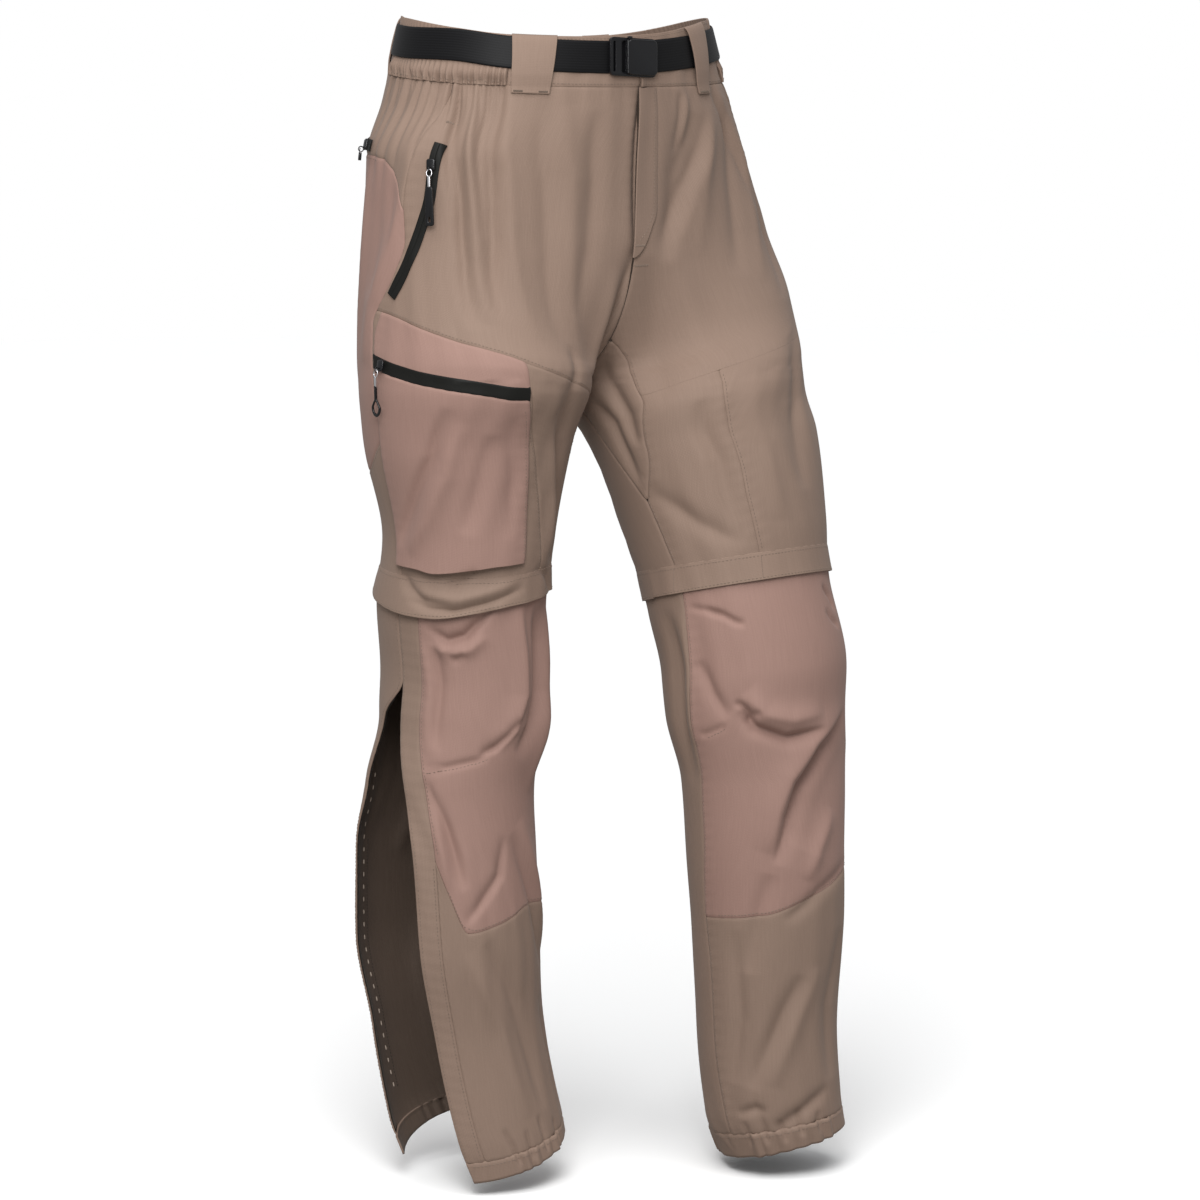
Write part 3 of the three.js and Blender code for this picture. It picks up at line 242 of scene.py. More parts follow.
def table_curves(columns, rows):
    """Each named column of a table as a curve over its first column."""
    return {name: [(row[0], row[i + 1]) for row in rows] for i, name in enumerate(columns[1:])}


HIPS = table_curves(HIP_COLUMNS, HIP_ROWS)
LEGS = {side: table_curves(LEG_COLUMNS, rows) for side, rows in LEG_ROWS.items()}


def drawn_points(side, around, depth):
    """The outer face of the smooth cloth as its tables give it, in millimetres."""
    around, depth = np.broadcast_arrays(np.asarray(around, float), np.asarray(depth, float))
    around = np.where(depth >= CROTCH_DEPTH, around % 1, around)
    hip = {name: curve_through(curve, np.minimum(depth, CROTCH_DEPTH)) for name, curve in HIPS.items()}
    leg = {name: curve_through(curve, np.maximum(depth, CROTCH_DEPTH)) for name, curve in LEGS[side].items()}
    sweep = np.clip((depth - CROTCH_START) / (CROTCH_DEPTH - CROTCH_START), 0, 1) * math.pi / 2
    leg_share = 1 - np.cos(sweep)
    half_turn = math.pi * around
    half = hip["half_right"] if side == RIGHT else hip["half_left"]
    bulge = hip["bulge_right"] if side == RIGHT else hip["bulge_left"]
    forward = np.cos(half_turn)
    hip_x = hip["shift"] + side * half * np.sin(half_turn)
    front_y = -hip["front"] * forward - bulge * np.sin(2 * half_turn) ** 2
    hip_y = np.where(forward > 0, front_y, -hip["back"] * forward)
    front_angle = 2 * around * leg["front_edge"]
    back_angle = 2 - 2 * (1 - around) * (2 - leg["back_edge"])
    ring_angle = math.pi * np.where(around < 0.5, front_angle, back_angle)
    flat_x = -side * leg["across"] * np.cos(ring_angle)
    flat_y = -np.sin(ring_angle) * np.where(np.sin(ring_angle) > 0, leg["front"], leg["back"])
    turn = np.radians(leg["turn"])
    ring_x = flat_x * np.cos(turn) - flat_y * np.sin(turn)
    ring_y = flat_x * np.sin(turn) + flat_y * np.cos(turn)
    x = (1 - leg_share) * hip_x + leg_share * (leg["x"] + ring_x)
    y = (1 - leg_share) * hip_y + leg_share * (leg["y"] + ring_y)
    back_share = np.clip((around - SINK_START[side]) / (SINK_END[side] - SINK_START[side]), 0, 1)
    sunk = hip["sink"] * (1 - np.cos(math.pi * back_share)) / 2
    hip_tilt = hip["side_tilt"] * hip_x + hip["front_tilt"] * hip_y - sunk
    leg_tilt = leg["side_tilt"] * ring_x + leg["front_tilt"] * ring_y
    on_curve = (depth > CROTCH_START) & (depth < CROTCH_DEPTH)
    swept = CROTCH_START + (CROTCH_DEPTH - CROTCH_START) * np.sin(sweep)
    drop = np.where(on_curve, swept - depth, 0) * np.cos(half_turn) ** 4
    z = -depth - drop + (1 - leg_share) * hip_tilt + leg_share * leg_tilt
    return np.stack([x, y, z], axis=-1)


def form_points(side, around, depth):
    """The outer face of the smooth cloth, rounded where the legs leave the hips."""
    around, depth = np.broadcast_arrays(np.asarray(around, float), np.asarray(depth, float))
    places = drawn_points(side, around, depth)
    clear = np.clip(np.minimum(around % 1, 1 - around % 1) / ROUNDING_EDGE, 0, 1)
    share = clear * np.exp(-(((depth - CROTCH_DEPTH) / ROUNDING) ** 2))
    near = share > WORTH_ROUNDING
    total = sum(drawn_points(side, around[near], depth[near] + step * ROUNDING) for step in ROUNDING_STEPS)
    places[near] += share[near][:, None] * (total / len(ROUNDING_STEPS) - places[near])
    return places


def form_normals(side, around, depth):
    """The way out of the cloth at each place."""
    around, depth = np.broadcast_arrays(np.asarray(around, float), np.asarray(depth, float))
    hips = depth < CROTCH_DEPTH
    before, after = around - WAY_ROUND_STEP, around + WAY_ROUND_STEP
    before = np.where(hips, np.maximum(before, 0), before)
    after = np.where(hips, np.minimum(after, 1), after)
    slit = (side == RIGHT) & (depth > SLIT_TOP)
    before = np.where(slit & (around >= 0.5) & (around < 0.6), np.maximum(before, SLIT_SIDES[1]), before)
    after = np.where(slit & (around < 0.5) & (around > 0.4), np.minimum(after, SLIT_SIDES[0]), after)
    across_step = form_points(side, after, depth) - form_points(side, before, depth)
    below, above = depth + WAY_DOWN_STEP, depth - WAY_DOWN_STEP
    out = -side * np.cross(across_step, form_points(side, around, below) - form_points(side, around, above))
    return out / np.linalg.norm(out, axis=-1, keepdims=True)


# The folds. Each is a ridge or a trough along a short path on one side's cloth, as wide and as high
# as named. A lean makes it wider on one hand and sharper on the other. Those behind are guessed.
FOLD_COLUMNS = ("side", "width", "height", "lean", "path")
FOLD_ROWS = [
    (RIGHT, 15, 6.8, 0, [(0.4, 66), (0.46, 153), (0.55, 236), (0.56, 289)]),
    (RIGHT, 8, -6.1, 0.2, [(0.37, 38), (0.345, 90), (0.33, 140), (0.326, 196), (0.346, 256)]),
    (RIGHT, 9, 4.6, 0, [(0.345, 38), (0.312, 100), (0.3, 180), (0.315, 250)]),
    (RIGHT, 8, -5.1, 0, [(0.294, 38), (0.272, 120), (0.268, 177), (0.29, 245)]),
    (RIGHT, 10, 3.8, 0, [(0.26, 45), (0.236, 120), (0.232, 190), (0.24, 260)]),
    (RIGHT, 12, -4.3, 0, [(0.2, 49), (0.172, 124), (0.168, 187), (0.19, 262)]),
    (RIGHT, 11, 3.0, 0, [(0.14, 55), (0.122, 124), (0.124, 200), (0.15, 270)]),
    (RIGHT, 10, -3.8, 0, [(0.092, 60), (0.082, 124), (0.09, 179), (0.128, 231)]),
    (RIGHT, 3.5, -4.6, -0.3, [(-0.004, 30), (0.003, 80), (0.003, 130), (0.002, 186)]),
    (RIGHT, 6, -8.8, -0.3, [(0.0, 176), (0.016, 215), (0.045, 250), (0.085, 278), (0.12, 300)]),
    (RIGHT, 9, 5.4, 0, [(0.03, 190), (0.052, 225), (0.09, 262), (0.13, 292)]),
    (RIGHT, 7, -4.9, 0.2, [(0.02, 262), (0.06, 300), (0.1, 340)]),
    (RIGHT, 9, -6.8, 0.2, [(0.23, 300), (0.19, 363), (0.162, 408), (0.136, 466)]),
    (RIGHT, 6, -4.6, 0, [(0.164, 255), (0.205, 310), (0.18, 354)]),
    (RIGHT, 8, 4.9, 0, [(0.225, 335), (0.185, 400), (0.165, 455)]),
    (RIGHT, 6, -6.0, 0.3, [(0.398, 322), (0.414, 365), (0.454, 401), (0.498, 441)]),
    (RIGHT, 8, -4.3, 0, [(0.325, 345), (0.34, 384), (0.365, 430)]),
    (RIGHT, 7, -3.2, 0, [(0.3, 330), (0.285, 385), (0.29, 435)]),
    (RIGHT, 8, 4.5, 0, [(0.372, 335), (0.39, 380), (0.43, 418), (0.47, 448)]),
    (RIGHT, 4, -4.9, 0.3, [(0.47, 483), (0.426, 489), (0.378, 490), (0.31, 484), (0.24, 476)]),
    (RIGHT, 6, 4.3, -0.3, [(0.465, 474), (0.42, 480), (0.37, 481), (0.31, 475), (0.25, 469)]),
    (RIGHT, 4, -4.1, 0, [(0.498, 462), (0.472, 474), (0.435, 482), (0.38, 484)]),
    (RIGHT, 4, -3.2, 0, [(0.4, 472), (0.37, 467), (0.34, 459)]),
    (RIGHT, 5, -3.5, 0, [(0.212, 462), (0.16, 475), (0.13, 492)]),
    (RIGHT, 4.5, -6.8, 0.2, [(0.432, 505), (0.392, 518), (0.356, 513), (0.332, 502), (0.3, 488)]),
    (RIGHT, 6, 4.1, 0, [(0.43, 520), (0.39, 531), (0.35, 526), (0.315, 512)]),
    (RIGHT, 4, -3.0, 0, [(0.4, 528), (0.378, 536), (0.36, 530)]),
    (RIGHT, 8, 5.7, -0.5, [(0.243, 488), (0.236, 531), (0.236, 575), (0.262, 606), (0.3, 622)]),
    (RIGHT, 10, -9.5, 0.3, [(0.19, 494), (0.183, 531), (0.186, 575), (0.212, 606), (0.25, 630)]),
    (RIGHT, 3.5, -5.1, 0.4, [(0.335, 627), (0.3, 621), (0.272, 610), (0.248, 596)]),
    (RIGHT, 10, 4.6, 0, [(0.13, 505), (0.142, 560), (0.158, 620), (0.19, 668)]),
    (RIGHT, 3, -2.7, 0, [(0.45, 640), (0.4, 636), (0.356, 632), (0.31, 628)]),
    (RIGHT, 6, 3.2, 0, [(0.44, 520), (0.43, 575), (0.434, 630)]),
    (RIGHT, 5, -4.1, 0, [(0.42, 512), (0.412, 560), (0.416, 622)]),
    (RIGHT, 7, -5.7, -0.2, [(0.446, 646), (0.416, 690), (0.394, 745)]),
    (RIGHT, 6, 3.5, 0, [(0.43, 650), (0.435, 700), (0.43, 745)]),
    (RIGHT, 5, -4.3, 0.3, [(0.4, 776), (0.354, 756), (0.31, 735), (0.29, 700)]),
    (RIGHT, 9, -4.9, 0, [(0.27, 700), (0.2, 765), (0.15, 830)]),
    (RIGHT, 10, 4.1, 0, [(0.24, 690), (0.175, 750), (0.12, 815)]),
    (RIGHT, 10, -4.6, 0, [(0.35, 790), (0.29, 850), (0.25, 950)]),
    (RIGHT, 9, 3.2, 0, [(0.4, 800), (0.34, 870), (0.31, 950)]),
    (RIGHT, 8, -3.5, 0, [(0.18, 850), (0.15, 910), (0.16, 965)]),
    (RIGHT, 2.6, -3.0, 0, [(0.385, 952), (0.372, 970), (0.37, 984)]),
    (RIGHT, 2.4, -2.6, 0, [(0.33, 958), (0.326, 972), (0.33, 984)]),
    (RIGHT, 2.8, -3.2, 0, [(0.28, 950), (0.276, 968), (0.282, 984)]),
    (RIGHT, 2.4, -2.6, 0, [(0.226, 960), (0.222, 972), (0.226, 984)]),
    (RIGHT, 20, 5.4, 0, [(0.6, 120), (0.63, 220), (0.66, 330)]),
    (RIGHT, 8, -5.4, 0, [(0.72, 50), (0.74, 130), (0.76, 210)]),
    (RIGHT, 10, -6.8, 0.2, [(0.92, 318), (0.8, 352), (0.66, 348)]),
    (RIGHT, 12, -6.1, 0.2, [(0.88, 395), (0.76, 420), (0.66, 408)]),
    (RIGHT, 8, -5.9, 0.2, [(0.86, 560), (0.77, 585), (0.66, 570)]),
    (RIGHT, 7, -6.2, 0.2, [(0.9, 612), (0.78, 628), (0.68, 606)]),
    (RIGHT, 8, -4.6, 0, [(0.86, 650), (0.76, 690), (0.7, 742)]),
    (RIGHT, 10, -4.3, 0, [(0.8, 770), (0.74, 850), (0.76, 930)]),
    (LEFT, 7, -4.0, 0, [(0.15, 60), (0.124, 95), (0.084, 131), (0.058, 163), (0.036, 182)]),
    (LEFT, 8, 2.4, 0, [(0.172, 64), (0.146, 97), (0.106, 133), (0.08, 166), (0.05, 192)]),
    (LEFT, 7, -3.6, 0, [(0.186, 38), (0.212, 60), (0.24, 100), (0.262, 150)]),
    (LEFT, 8, 2.2, 0, [(0.21, 38), (0.235, 62), (0.262, 104), (0.28, 150)]),
    (LEFT, 4, 2.2, 0, [(0.105, 40), (0.1, 62), (0.085, 92)]),
    (LEFT, 4, -2.4, 0, [(0.09, 42), (0.085, 66), (0.07, 100)]),
    (LEFT, 12, -4.9, 0, [(0.12, 60), (0.07, 120), (0.05, 185)]),
    (LEFT, 10, 3.8, 0, [(0.17, 52), (0.13, 120), (0.1, 185)]),
    (LEFT, 10, -4.6, 0, [(0.24, 50), (0.2, 120), (0.17, 200)]),
    (LEFT, 10, 3.2, 0, [(0.28, 55), (0.255, 130), (0.22, 210)]),
    (LEFT, 12, -4.9, 0, [(0.34, 50), (0.31, 140), (0.28, 230)]),
    (LEFT, 12, -4.6, 0, [(0.022, 182), (0.064, 240), (0.134, 330)]),
    (LEFT, 11, 3.5, 0, [(0.06, 180), (0.11, 230), (0.18, 300)]),
    (LEFT, 6, -6.8, 0, [(0.004, 250), (0.05, 298), (0.08, 335), (0.085, 360)]),
    (LEFT, 6, -5.4, 0, [(0.03, 320), (0.054, 340), (0.06, 392)]),
    (LEFT, 9, -4.2, 0, [(0.07, 396), (0.134, 433), (0.19, 458)]),
    (LEFT, 10, -4.1, 0, [(0.174, 325), (0.194, 380), (0.178, 455)]),
    (LEFT, 12, -4.9, 0, [(0.286, 265), (0.34, 334), (0.326, 415)]),
    (LEFT, 12, 3.5, 0, [(0.24, 300), (0.27, 370), (0.26, 440)]),
    (LEFT, 2.6, -2.4, 0, [(0.07, 504), (0.1, 508), (0.128, 514)]),
    (LEFT, 2.4, -4.6, 0, [(0.1, 508), (0.128, 514), (0.146, 521), (0.162, 524)]),
    (LEFT, 3, -3.6, 0, [(0.34, 502), (0.362, 512), (0.372, 524)]),
    (LEFT, 3, -2.7, 0, [(0.33, 522), (0.35, 531), (0.372, 536)]),
    (LEFT, 4.6, -8.8, 0.4, [(0.136, 592), (0.155, 609), (0.208, 621), (0.29, 618)]),
    (LEFT, 9, 5.9, -0.2, [(0.14, 580), (0.175, 600), (0.22, 607), (0.29, 604)]),
    (LEFT, 2.6, -4.6, 0, [(0.124, 586), (0.14, 592), (0.152, 600)]),
    (LEFT, 2.6, -3.5, 0, [(0.138, 608), (0.15, 600), (0.168, 596)]),
    (LEFT, 2.6, -2.2, 0, [(0.045, 615), (0.07, 612), (0.104, 606)]),
    (LEFT, 6, -4.1, 0, [(0.062, 548), (0.084, 578), (0.11, 600)]),
    (LEFT, 7, -9.5, -0.55, [(0.376, 607), (0.278, 636), (0.218, 664), (0.184, 693), (0.15, 732)]),
    (LEFT, 9, 6.2, 0.5, [(0.36, 602), (0.262, 630), (0.202, 658), (0.168, 687), (0.138, 722)]),
    (LEFT, 24, -4.6, 0, [(0.39, 630), (0.31, 658), (0.25, 690), (0.21, 722)]),
    (LEFT, 8, 4.1, 0, [(0.3, 690), (0.25, 722), (0.22, 750)]),
    (LEFT, 6, -3.8, 0, [(0.365, 742), (0.25, 762), (0.165, 785)]),
    (LEFT, 8, -4.1, 0, [(0.14, 740), (0.11, 780), (0.09, 830)]),
    (LEFT, 8, -4.9, 0, [(0.21, 835), (0.156, 882), (0.09, 935)]),
    (LEFT, 8, 3.5, 0, [(0.25, 830), (0.2, 880), (0.14, 935)]),
    (LEFT, 7, -3.8, 0, [(0.062, 790), (0.07, 871), (0.05, 930)]),
    (LEFT, 9, -4.1, 0, [(0.33, 800), (0.3, 870), (0.31, 940)]),
    (LEFT, 4, -3.5, 0, [(0.045, 957), (0.094, 952), (0.12, 957)]),
    (LEFT, 6, -4.6, 0, [(0.29, 945), (0.192, 963), (0.13, 974)]),
    (LEFT, 8, -7.4, 0, [(0.018, 500), (0.012, 545), (0.0, 600), (-0.012, 660)]),
    (LEFT, 6, 3.5, 0, [(0.046, 505), (0.04, 560), (0.026, 625)]),
    (LEFT, 2.4, -2.6, 0, [(0.06, 962), (0.064, 976), (0.06, 986)]),
    (LEFT, 2.8, -3.0, 0, [(0.1, 954), (0.106, 970), (0.104, 984)]),
    (LEFT, 2.4, -2.6, 0, [(0.146, 964), (0.15, 976), (0.148, 986)]),
    (LEFT, 2.8, -3.2, 0, [(0.2, 958), (0.194, 972), (0.19, 984)]),
    (LEFT, 2.4, -2.4, 0, [(0.25, 964), (0.24, 976), (0.238, 986)]),
    (LEFT, 20, 5.4, 0, [(0.6, 120), (0.64, 220), (0.68, 330)]),
    (LEFT, 8, -5.4, 0, [(0.74, 60), (0.77, 130), (0.8, 215)]),
    (LEFT, 10, -6.8, 0.2, [(0.93, 330), (0.82, 366), (0.68, 362)]),
    (LEFT, 12, -6.1, 0.2, [(0.9, 405), (0.78, 430), (0.66, 424)]),
    (LEFT, 8, -5.7, 0.2, [(0.9, 555), (0.78, 580), (0.66, 562)]),
    (LEFT, 7, -6.2, 0.2, [(0.88, 606), (0.78, 626), (0.64, 612)]),
    (LEFT, 8, -4.6, 0, [(0.84, 652), (0.74, 690), (0.68, 740)]),
    (LEFT, 10, -4.3, 0, [(0.82, 780), (0.76, 850), (0.72, 930)]),
]
FOLDS = [dict(zip(FOLD_COLUMNS, row), from_seam=False) for row in FOLD_ROWS]

# Gathers that run down from the elastic in each side of the waist, uneven in length and depth
GATHER_TOP = 33
GATHER_COLUMNS = ("around", "to_around", "to_depth", "width", "height")
GATHER_ROWS = [
    (0.273, 0.262, 150, 4.5, -5.4),
    (0.288, 0.276, 100, 3.4, -4.5),
    (0.302, 0.284, 190, 5, -6.3),
    (0.32, 0.302, 105, 3.4, -5.1),
    (0.338, 0.318, 140, 4.5, -6.0),
    (0.352, 0.34, 88, 3, -4.5),
    (0.366, 0.346, 160, 4.5, -6.9),
    (0.386, 0.38, 95, 3.4, -5.1),
    (0.403, 0.404, 80, 3, -4.5),
    (0.42, 0.432, 120, 4.5, -6.3),
    (0.442, 0.458, 100, 3.4, -5.1),
    (0.47, 0.5, 130, 4.5, -5.7),
    (0.49, 0.52, 90, 3.4, -4.5),
    (0.512, 0.545, 140, 4.5, -6.0),
    (0.54, 0.565, 100, 3.4, -4.8),
    (0.562, 0.582, 130, 4.5, -5.7),
    (0.586, 0.602, 95, 3.4, -4.8),
    (0.606, 0.618, 120, 3.4, -4.5),
]
for row in GATHER_ROWS:
    gather = dict(zip(GATHER_COLUMNS, row))
    for side, slip, share in ((RIGHT, 0, 1), (LEFT, 0.006, 0.9)):
        foot = GATHER_TOP + share * (gather["to_depth"] - GATHER_TOP)
        path = [(gather["around"] + slip, GATHER_TOP), (gather["to_around"] + slip, foot)]
        FOLDS.append({"side": side, "width": gather["width"], "height": gather["height"] * share, "lean": 0,
                      "path": path, "from_seam": True})


def girth(side, depth):
    """About how many millimetres one full step around a side is."""
    leg_girth = 2 * math.pi * curve_through(LEGS[side]["across"], np.maximum(depth, CROTCH_DEPTH))
    return np.where(depth < CROTCH_DEPTH, HIP_GIRTH, leg_girth)


def fold_height(side, around, depth):
    """How far the folds lift the cloth at each place, in millimetres, with a faint uneven sway."""
    per_turn = girth(side, depth)
    height = np.zeros(np.broadcast(around, depth).shape)
    for fold in FOLDS:
        if fold["side"] != side:
            continue
        path = fold["path"]
        nearest = np.full(height.shape, 1e9)
        share = np.zeros(height.shape)
        hand = np.zeros(height.shape)
        for i, ((u0, v0), (u1, v1)) in enumerate(zip(path, path[1:])):
            run_x = (u1 - u0) * per_turn
            run_y = v1 - v0
            off_x = (((around - u0 + 0.5) % 1) - 0.5) * per_turn
            off_y = depth - v0
            along = np.clip((off_x * run_x + off_y * run_y) / (run_x ** 2 + run_y ** 2), 0, 1)
            away = np.hypot(off_x - along * run_x, off_y - along * run_y)
            closer = away < nearest
            nearest = np.where(closer, away, nearest)
            share = np.where(closer, (i + along) / (len(path) - 1), share)
            hand = np.where(closer, np.tanh((run_x * off_y - run_y * off_x) / np.hypot(run_x, run_y)), hand)
        fade = 1 - share ** 1.5 if fold["from_seam"] else 1 - np.abs(2 * share - 1) ** 3
        width = fold["width"] * (1 + fold["lean"] * hand)
        height += fold["height"] * fade * np.exp(-((nearest / width) ** 1.7))
    sway = 0.35 * np.sin(around * per_turn / 4.1 + 0.9 * np.sin(depth / 61) + side)
    sway = sway + 0.3 * np.sin(around * per_turn / 7.3 + depth / 43 + 1.2 * np.sin(depth / 90))
    return height + sway * np.clip(1.5 * np.sin(depth / 71 + around * per_turn / 59), 0, 1)


def cloth_points(side, around, depth, lift):
    """Points on the folded cloth, raised by lift, in millimetres."""
    raised = (lift + fold_height(side, around, depth))[..., None]
    return form_points(side, around, depth) + form_normals(side, around, depth) * raised


# The cloth. The shell is a plain-woven stretch nylon with a dull face, and the panels at the knee, seat
# and cargo pocket a finer, pinker one. The inside faces are the same cloth with painted shade, its
# colours made darker. Threads are far under a pixel, so the weave is drawn 1.4 mm apart, and only as
# a faint bump with uneven vertical yarns.
THREAD_PITCH = 0.0014
YARN_LENGTH = 0.03
SHADE_PATCH = 0.06
WAVE_OF_ONE = math.pi / 10  # the scale at which a wave texture repeats once a metre


def woven_cloth(name, deep, plain, light, bump, sheen):
    """A woven cloth that varies softly in tone, with fine uneven yarns down its length."""
    material = blank_material(name)
    flat_map = add_node(material, "ShaderNodeUVMap", {"uv_map": "cloth"})
    patch = add_node(material, "ShaderNodeTexNoise", sockets={"Scale": 1 / SHADE_PATCH, "Detail": 4.0},
                     links={"Vector": flat_map.outputs[0]})
    yarn_map = add_node(material, "ShaderNodeMapping",
                        sockets={"Scale": (1 / THREAD_PITCH, 1 / YARN_LENGTH, 1)},
                        links={"Vector": flat_map.outputs[0]})
    yarn = add_node(material, "ShaderNodeTexNoise", sockets={"Scale": 1.0, "Detail": 2.0},
                    links={"Vector": yarn_map.outputs[0]})
    warp, weft = (add_node(material, "ShaderNodeTexWave", {"bands_direction": way},
                           {"Scale": WAVE_OF_ONE / THREAD_PITCH, "Distortion": 0.6, "Detail": 1.0},
                           {"Vector": flat_map.outputs[0]}) for way in "XY")
    weave = add_node(material, "ShaderNodeMath", {"operation": "MULTIPLY"},
                     links={0: warp.outputs["Fac"], 1: weft.outputs["Fac"]})
    tone = add_node(material, "ShaderNodeMix", {"data_type": "RGBA"}, {6: linear(deep), 7: linear(plain)},
                    {0: patch.outputs["Fac"]})
    streak = add_node(material, "ShaderNodeMapRange",
                      sockets={"From Min": 0.35, "From Max": 0.75, "To Min": 0.0, "To Max": 0.35},
                      links={"Value": yarn.outputs["Fac"]})
    colour = add_node(material, "ShaderNodeMix", {"data_type": "RGBA"}, {7: linear(light)},
                      {0: streak.outputs[0], 6: tone.outputs[2]})
    relief = add_node(material, "ShaderNodeMath", {"operation": "ADD"},
                      links={0: weave.outputs[0], 1: yarn.outputs["Fac"]})
    ridge = add_node(material, "ShaderNodeBump", sockets={"Strength": bump, "Distance": 0.0003},
                     links={"Height": relief.outputs[0]})
    roughness = add_node(material, "ShaderNodeMapRange", sockets={"To Min": 0.68, "To Max": 0.84},
                         links={"Value": patch.outputs["Fac"]})
    shader = add_node(material, "ShaderNodeBsdfPrincipled",
                      sockets={"Sheen Weight": sheen, "Sheen Roughness": 0.45, "Specular IOR Level": 0.3},
                      links={"Base Color": colour.outputs[2], "Roughness": roughness.outputs[0],
                             "Normal": ridge.outputs[0]})
    add_node(material, "ShaderNodeOutputMaterial", links={"Surface": shader.outputs[0]})
    return material


shell_cloth = woven_cloth("stretch_nylon_shell", "#7d695c", "#836e61", "#8a7568", 0.3, 0.05)
panel_cloth = woven_cloth("fine_nylon_panel", "#8b6e64", "#91746a", "#997b71", 0.25, 0.05)
# Painted shade: the shell's own cloth, its colours darkened to stand for the shade inside the garment
painted_shade_inside_cloth = woven_cloth("stretch_nylon_inside_painted_shade", "#55473d", "#5e4f45", "#67584d", 0.25, 0.05)

# Sewing draws each edge into its seam and puckers the cloth beside it, so a panel's points lie
# close together near its edges.
SEAM_DIP = 0.6
SEAM_REACH = 1.4
PUCKER_PITCH = 11
PUCKER_HEIGHT = 0.12
PUCKER_REACH = 9
PUCKER_MIDDLE = 4
EDGE_STEPS = (0, 0.6, 1.3, 2.2, 3.4)


def spread(length, step):
    """Shares along a piece: close together at both edges, and about a step apart between them."""
    start = EDGE_STEPS[-1]
    count = max(int(round((length - 2 * start) / step)), 1)
    middle = np.linspace(start, length - start, count + 1)[1:-1]
    ends = np.array(EDGE_STEPS)
    return np.concatenate([ends, middle, length - ends[::-1]]) / length


def walked(points, axis):
    """How far each point of a grid is from its first row or column, along the cloth."""
    lengths = np.cumsum(np.linalg.norm(np.diff(points, axis=axis), axis=-1), axis=axis)
    return np.concatenate([np.zeros_like(np.take(lengths, [0], axis)), lengths], axis)


def laid_mesh(name, points, material, inside, closed=False):
    """A mesh of a grid of points in millimetres, with a map of its own flat lengths in metres."""
    rows, columns = points.shape[:2]
    run = np.concatenate([points, points[:, :1]], axis=1) if closed else points
    flat_x, flat_y = walked(run, 1), walked(run, 0)
    flat_x -= flat_x[:, flat_x.shape[1] // 2][:, None]
    spans = columns if closed else columns - 1
    r, c = np.meshgrid(np.arange(rows - 1), np.arange(spans), indexing="ij")
    r, c = r.ravel(), c.ravel()
    after = (c + 1) % columns
    above, below = r * columns, (r + 1) * columns
    quads = np.stack([above + c, below + c, below + after, above + after], 1)
    corners = [(r, c), (r + 1, c), (r + 1, c + 1), (r, c + 1)]
    flat = np.stack([np.stack([flat_x[i, j], flat_y[i, j]], -1) for i, j in corners], 1) * MM
    mesh = bpy.data.meshes.new(name)
    mesh.from_pydata((points.reshape(-1, 3) * MM).tolist(), [], quads.tolist())
    layer = mesh.uv_layers.new(name="cloth")
    layer.data.foreach_set("uv", flat.astype(np.float32).ravel())
    mesh.polygons.foreach_set("use_smooth", np.ones(len(quads), bool))
    piece = bpy.data.objects.new(name, mesh)
    bpy.context.collection.objects.link(piece)
    piece.data.materials.append(material)
    piece.data.materials.append(inside)
    return piece


def face_out(piece, side):
    """Turns a laid mesh so that its faces point out of the garment."""
    if side == RIGHT:
        piece.data.flip_normals()


def give_thickness(piece, thickness, outwards=False):
    """A wall of cloth, grown from the laid face."""
    bpy.context.view_layer.objects.active = piece
    wall = piece.modifiers.new("wall", "SOLIDIFY")
    wall.thickness = thickness * MM
    wall.offset = 1 if outwards else -1
    wall.use_even_offset = False
    wall.material_offset = 0 if outwards else 1
    bpy.ops.object.modifier_apply(modifier=wall.name)


def sewn_piece(name, side, around, depth, lift, material, seams="lrtb", thickness=1.0, inside=None,
               outwards=False, closed=False, folded=True):
    """Lays a grid of places as cloth, dips it into its seams, and gives it a wall."""
    base = form_points(side, around, depth)
    length_down, length_across = walked(base, 0), walked(base, 1)
    edges = {"l": length_across, "r": length_across[:, -1:] - length_across,
             "t": length_down, "b": length_down[-1:] - length_down}
    along = {"l": length_down, "r": length_down, "t": length_across, "b": length_across}
    raised = lift + np.zeros(base.shape[:2])
    for edge in seams:
        raised = raised - SEAM_DIP * np.exp(-((edges[edge] / SEAM_REACH) ** 2))
        wave = np.sin(2 * math.pi * along[edge] / PUCKER_PITCH + 1.7 * np.sin(along[edge] / 37))
        raised = raised + PUCKER_HEIGHT * wave * np.exp(-((edges[edge] - PUCKER_MIDDLE) / PUCKER_REACH) ** 2)
    if folded:
        raised = raised + fold_height(side, around, depth)
    points = base + form_normals(side, around, depth) * raised[..., None]
    piece = laid_mesh(name, points, material, inside or painted_shade_inside_cloth, closed)
    face_out(piece, side)
    give_thickness(piece, thickness, outwards)
    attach(piece, "garment")
    return piece


def across_both(name, on_right, laid, material, thickness, outwards=False, closed=False):
    """A piece that runs from one side's form to the other's, given a wall and riding the garment."""
    points = np.where(on_right[..., None], laid[RIGHT], laid[LEFT])
    piece = laid_mesh(name, points, material, material, closed)
    face_out(piece, RIGHT)
    give_thickness(piece, thickness, outwards)
    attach(piece, "garment")
    return piece


def straight(place):
    """A cut at one depth all round, or a seam at one place all down."""
    return lambda at: place + 0 * np.asarray(at, float)


def table_line(points):
    """A cut or a seam that follows a table."""
    return lambda at: curve_through(points, at)


def edge_depths(seams, share, level_at):
    """Where each column of a panel meets its top or bottom cut."""
    depth = level_at(np.full(share.shape, 0.5))
    for _ in range(8):
        depth = level_at(seams[0](depth) * (1 - share) + seams[1](depth) * share)
    return depth


